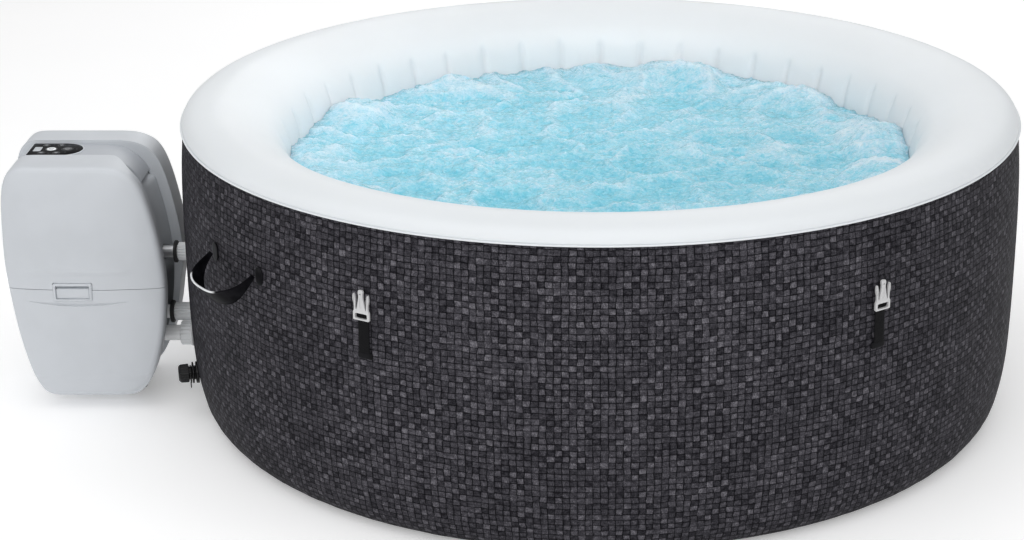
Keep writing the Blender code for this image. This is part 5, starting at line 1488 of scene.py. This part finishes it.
def make_board():
    """Circuit board under the panel, with six chips on its underside."""
    z = DECK_TOP - 0.0085
    outline = [(-1.2040, -0.0910), (-1.1300, -0.0910), (-1.1300, -0.0250), (-1.2040, -0.0250)]
    parts = [prism("board_plate", outline, z, z + 0.0015, MATS["board"], None, 0.0003, 1)]
    for k in range(6):
        x = -1.198 + 0.0115 * k
        parts.append(box("chip", (x, -0.0860 + 0.004 * (k % 2), z - 0.0035),
                         (x + 0.0070, -0.0700, z + 0.0002), MATS["rubber"], 0.0006, None, 2))
    return join(parts, "control_board_assembled")


book(make_core(), "tub", "core_plastic", "pump_core_frame")
book(make_deck(), "tub", "deck_plastic", "pump_top_deck")
book(make_board(), "tub", "circuit_board", "control_board")

# ================================================================ control panel
PANEL_Y, PANEL_HALF_Y = -0.058, 0.0415
PANEL_X0, PANEL_ARC_X, PANEL_X1 = -1.2250, -1.154, -1.1125   # square end, arc centre, round end
PANEL_CORNER = 0.0035
PRINT_Z = DECK_TOP + 0.0023
KEY_TOP = DECK_TOP + 0.0036
KEY_ROW = 0.0265             # small keys lie this far either side of the middle line
# button: (x, y, radius, material)
BUTTONS = {"power": (-1.1795, PANEL_Y, 0.0100, "key_white"),
           "bubbles": (-1.1450, PANEL_Y, 0.0100, "key_black"),
           "heat": (-1.1955, PANEL_Y - KEY_ROW, 0.0055, "key_black"),
           "filter": (-1.1635, PANEL_Y - KEY_ROW, 0.0055, "key_black"),
           "up": (-1.1955, PANEL_Y + KEY_ROW, 0.0055, "key_black"),
           "down": (-1.1635, PANEL_Y + KEY_ROW, 0.0055, "key_black")}
# (x, y from PANEL_Y) of the printed dots
DOTS = [(-1.1795, -0.0300), (-1.1795, 0.0300), (-1.1450, -0.0220), (-1.1450, 0.0220),
        (-1.1250, 0.0)]


def panel_line(grow):
    """Panel outline grown outwards: square -X end with small corners, round +X end."""
    half_y = PANEL_HALF_Y + grow
    corner = PANEL_CORNER + grow
    pts = [(PANEL_ARC_X + (PANEL_X1 - PANEL_ARC_X + grow) * math.cos(a),
            PANEL_Y + half_y * math.sin(a)) for a in np.linspace(-math.pi / 2, math.pi / 2, 41)]
    for side, start, end in ((1, math.pi / 2, math.pi), (-1, math.pi, 1.5 * math.pi)):
        for a in np.linspace(start, end, 9):
            pts.append((PANEL_X0 - grow + corner + corner * math.cos(a),
                        PANEL_Y + side * half_y - side * corner + corner * math.sin(a)))
    return pts


def flat_ring(name, x, y, z, radius, width, height, mat, steps):
    """Thin raised printed ring."""
    profile = rounded(ring_profile(radius - width / 2, radius + width / 2, 0, height),
                      height * 0.4, 2)
    return lathe(name, profile, mat, Matrix.Translation((x, y, z)), steps)


panel = prism("panel_face", panel_line(0.0), DECK_TOP + 0.0002, DECK_TOP + 0.0024,
              MATS["panel"], None, 0.0005, 2)
for x, y, radius, _ in BUTTONS.values():
    carve(panel, round_cutter(radius + 0.0004, 0.50, 0.60, MATS["panel"],
                              Matrix.Translation((x, y, 0)), 48))
carve(panel, box("tool", (-1.2175, PANEL_Y - 0.0150, 0.50), (-1.2005, PANEL_Y + 0.0150, 0.60),
                 case, 0))
shade(panel, 30)
book(panel, "tub", "gloss_black", "control_panel")
book(tube_along("panel_border", [(x, y, DECK_TOP + 0.0010) for x, y in panel_line(0.0014)],
                0.0014, case, 12, True), "tub", "case_plastic")
for key, (x, y, radius, key_mat) in BUTTONS.items():
    key_profile = [(0.0001, DECK_TOP - 0.0010), (radius, DECK_TOP - 0.0010),
                   (radius, KEY_TOP - 0.0007), (radius - 0.0004, KEY_TOP - 0.0002),
                   (radius - 0.0012, KEY_TOP), (radius * 0.70, KEY_TOP - 0.0002),
                   (radius * 0.35, KEY_TOP - 0.0004), (0.0001, KEY_TOP - 0.0004)]
    key_cap = lathe("key_" + key, key_profile, MATS[key_mat], Matrix.Translation((x, y, 0)))
    mark_mat = MATS["print" if key_mat == "key_black" else "key_black"]
    mark_ring = flat_ring("mark", x, y, KEY_TOP - 0.00045, radius * 0.42, 0.0008, 0.0004,
                          mark_mat, 40)
    mark = join([mark_ring], "key_mark_" + key)
    shade(mark)
    book(key_cap, "button_" + key, key_mat, "button_" + key)
    book(mark, "button_" + key, key_mat)
for key, (x, y, radius, _) in BUTTONS.items():
    book(flat_ring("print_ring_" + key, x, y, PRINT_Z, radius + 0.0022, 0.0006, 0.0003,
                   MATS["print_faint"], 56), "tub", "key_white")
for k, (x, dot_y) in enumerate(DOTS):
    book(lathe("print_dot_%d" % k, [(0.0001, 0), (0.0011, 0), (0.0010, 0.0003), (0.0001, 0.0003)],
               MATS["print_faint"], Matrix.Translation((x, PANEL_Y + dot_y, PRINT_Z)), 20),
         "tub", "key_white")
book(box("display_glass", (-1.2171, PANEL_Y - 0.0146, DECK_TOP - 0.0008),
         (-1.2009, PANEL_Y + 0.0146, DECK_TOP + 0.0028), MATS["print"], 0.0012),
     "tub", "key_white", "display_window")

# ================================================================ foot, cable and plug
rubber = MATS["rubber"]
# centre line of the cable, from the rear cover to the plug
CABLE = [(-1.100, 0.0850, 0.120), (-1.100, 0.105, 0.117), (-1.104, 0.138, 0.060),
         (-1.115, 0.172, 0.010), (-1.150, 0.215, 0.0055), (-1.195, 0.270, 0.0055),
         (-1.185, 0.335, 0.0055), (-1.120, 0.350, 0.0055), (-1.065, 0.310, 0.0055),
         (-1.030, 0.340, 0.0055), (-1.040, 0.400, 0.0100), (-1.070, 0.440, 0.0170)]
# (radius, distance out of the cover)
GLAND = [(0.0047, 0.0), (0.0120, 0.0), (0.0115, 0.006), (0.0085, 0.010), (0.0070, 0.026),
         (0.0047, 0.026)]
Z_TO_Y = Matrix.Rotation(math.radians(-90), 4, "X")


def make_foot():
    """Foot block with a boss and two bored ears for the hinge rod."""
    parts = [box("foot_tray", (-1.190, -0.070, 0.0), (-1.010, 0.055, 0.0294), rubber, 0.0030,
                 None, 3),
             box("foot_boss", (-1.150, -0.069, 0.010), (-1.046, -0.030, 0.0425), rubber, 0.0020,
                 None, 3)]
    for x in (-1.186, -1.014):
        ear = box("foot_ear", (x - 0.004, -0.1022, 0.0205), (x + 0.004, -0.060, 0.0385), rubber,
                  0.0015, None, 3)
        carve(ear, round_cutter(0.0028, -0.02, 0.02, rubber, along_x(x, HINGE_Y, HINGE_Z), 24))
        parts.append(ear)
    foot = join(parts, "foot_block")
    shade(foot, 35)
    return foot


def make_cable():
    flex = tube_along("mains_flex", smooth_curve(CABLE, 12), 0.0045, rubber, 20)
    gland = lathe("gland", rounded(GLAND, 0.0010, 3), rubber,
                  Matrix.Translation((-1.100, 0.0838, 0.120)) @ Z_TO_Y, 48, 50)
    cable = join([flex, gland], "power_lead")
    shade(cable, 45)
    return cable


def make_plug():
    """Plug body with grip ribs on both sides and two pins."""
    frame = (Matrix.Translation((-1.0796, 0.4528, 0.0190))
             @ Matrix.Rotation(math.radians(37), 4, "Z"))
    parts = [box("plug_body", (-0.022, -0.0145, -0.0185), (0.022, 0.0265, 0.0185), rubber,
                 0.0065, frame, 6)]
    for side in (-1, 1):
        for k in range(4):
            parts.append(box("rib", (side * 0.0222 - 0.0008, -0.004 + 0.006 * k, -0.011),
                             (side * 0.0222 + 0.0008, -0.001 + 0.006 * k, 0.011), rubber,
                             0.0006, frame, 2))
    pin_profile = rounded(ring_profile(0.0001, 0.0024, 0.020, 0.0455), 0.0010, 3)
    for x in (-0.0095, 0.0095):
        parts.append(lathe("pin", pin_profile, MATS["steel"],
                           frame @ Matrix.Translation((x, 0, 0)) @ Z_TO_Y, 28))
    plug = join(parts, "mains_plug")
    shade(plug, 45)
    return plug


book(make_foot(), "tub", "black_rubber", "pump_base_tray")
book(make_cable(), "tub", "black_rubber", "power_cable")
book(make_plug(), "tub", "black_rubber", "power_plug")

# ================================================================ floor, lights, world, camera
bpy.ops.mesh.primitive_plane_add(size=60.0, location=(0, 0, -0.0005))
ground = bpy.context.object
ground.name = "studio_ground"
ground.data.materials.append(studio_floor())


def area(name, loc, size, power, target=(-0.15, 0, 0.35), spread=None):
    """Rectangular light aimed at target; spread in degrees narrows its beam."""
    data = bpy.data.lights.new(name, "AREA")
    data.shape = "RECTANGLE"
    data.size, data.size_y = size
    data.energy = power
    if spread is not None:
        data.spread = math.radians(spread)
    light = add_object(name, data)
    light.location = loc
    aim = Vector(target) - Vector(loc)
    light.rotation_euler = aim.to_track_quat("-Z", "Y").to_euler()
    return light


lights = [
    area("key_top", loc=(-0.4, -1.2, 4.2), size=(5.0, 4.0), power=72),
    area("front_fill", loc=(-0.7, -4.6, 2.6), size=(3.6, 2.4), power=49),
    area("right_fill", loc=(4.4, -1.2, 2.4), size=(2.6, 3.2), power=14),
    area("left_fill", loc=(-4.6, 0.4, 2.4), size=(2.6, 3.2), power=5),
    area("back_fill", loc=(0.6, 4.6, 2.6), size=(4.2, 2.4), power=35),
    area("well_fill", loc=(1.9, -0.5, 2.9), size=(0.9, 0.9), power=0.55,
         target=(-0.64, 0.10, 0.52), spread=16),
    area("back_well", loc=(0.1, -1.3, 3.1), size=(1.6, 0.5), power=0.52,
         target=(0.1, 0.72, 0.56), spread=24),
]

scene = bpy.context.scene
world = bpy.data.worlds.new("studio")
scene.world = world
world.use_nodes = True
background = world.node_tree.nodes.get("Background")
background.inputs["Color"].default_value = (1.0, 1.0, 1.0, 1.0)
background.inputs["Strength"].default_value = 0.50

cam_data = bpy.data.cameras.new("photo_camera")
cam_data.lens = 78.44
cam_data.sensor_width = 36.0
cam_data.sensor_fit = "HORIZONTAL"
cam_data.shift_x, cam_data.shift_y = -0.0864, -0.0318
camera = add_object("photo_camera", cam_data)
camera.location = (0.0, -4.6337, 1.9927)
camera.rotation_euler = (math.radians(70.26), 0, 0)
scene.camera = camera
scene.view_settings.view_transform = "Standard"
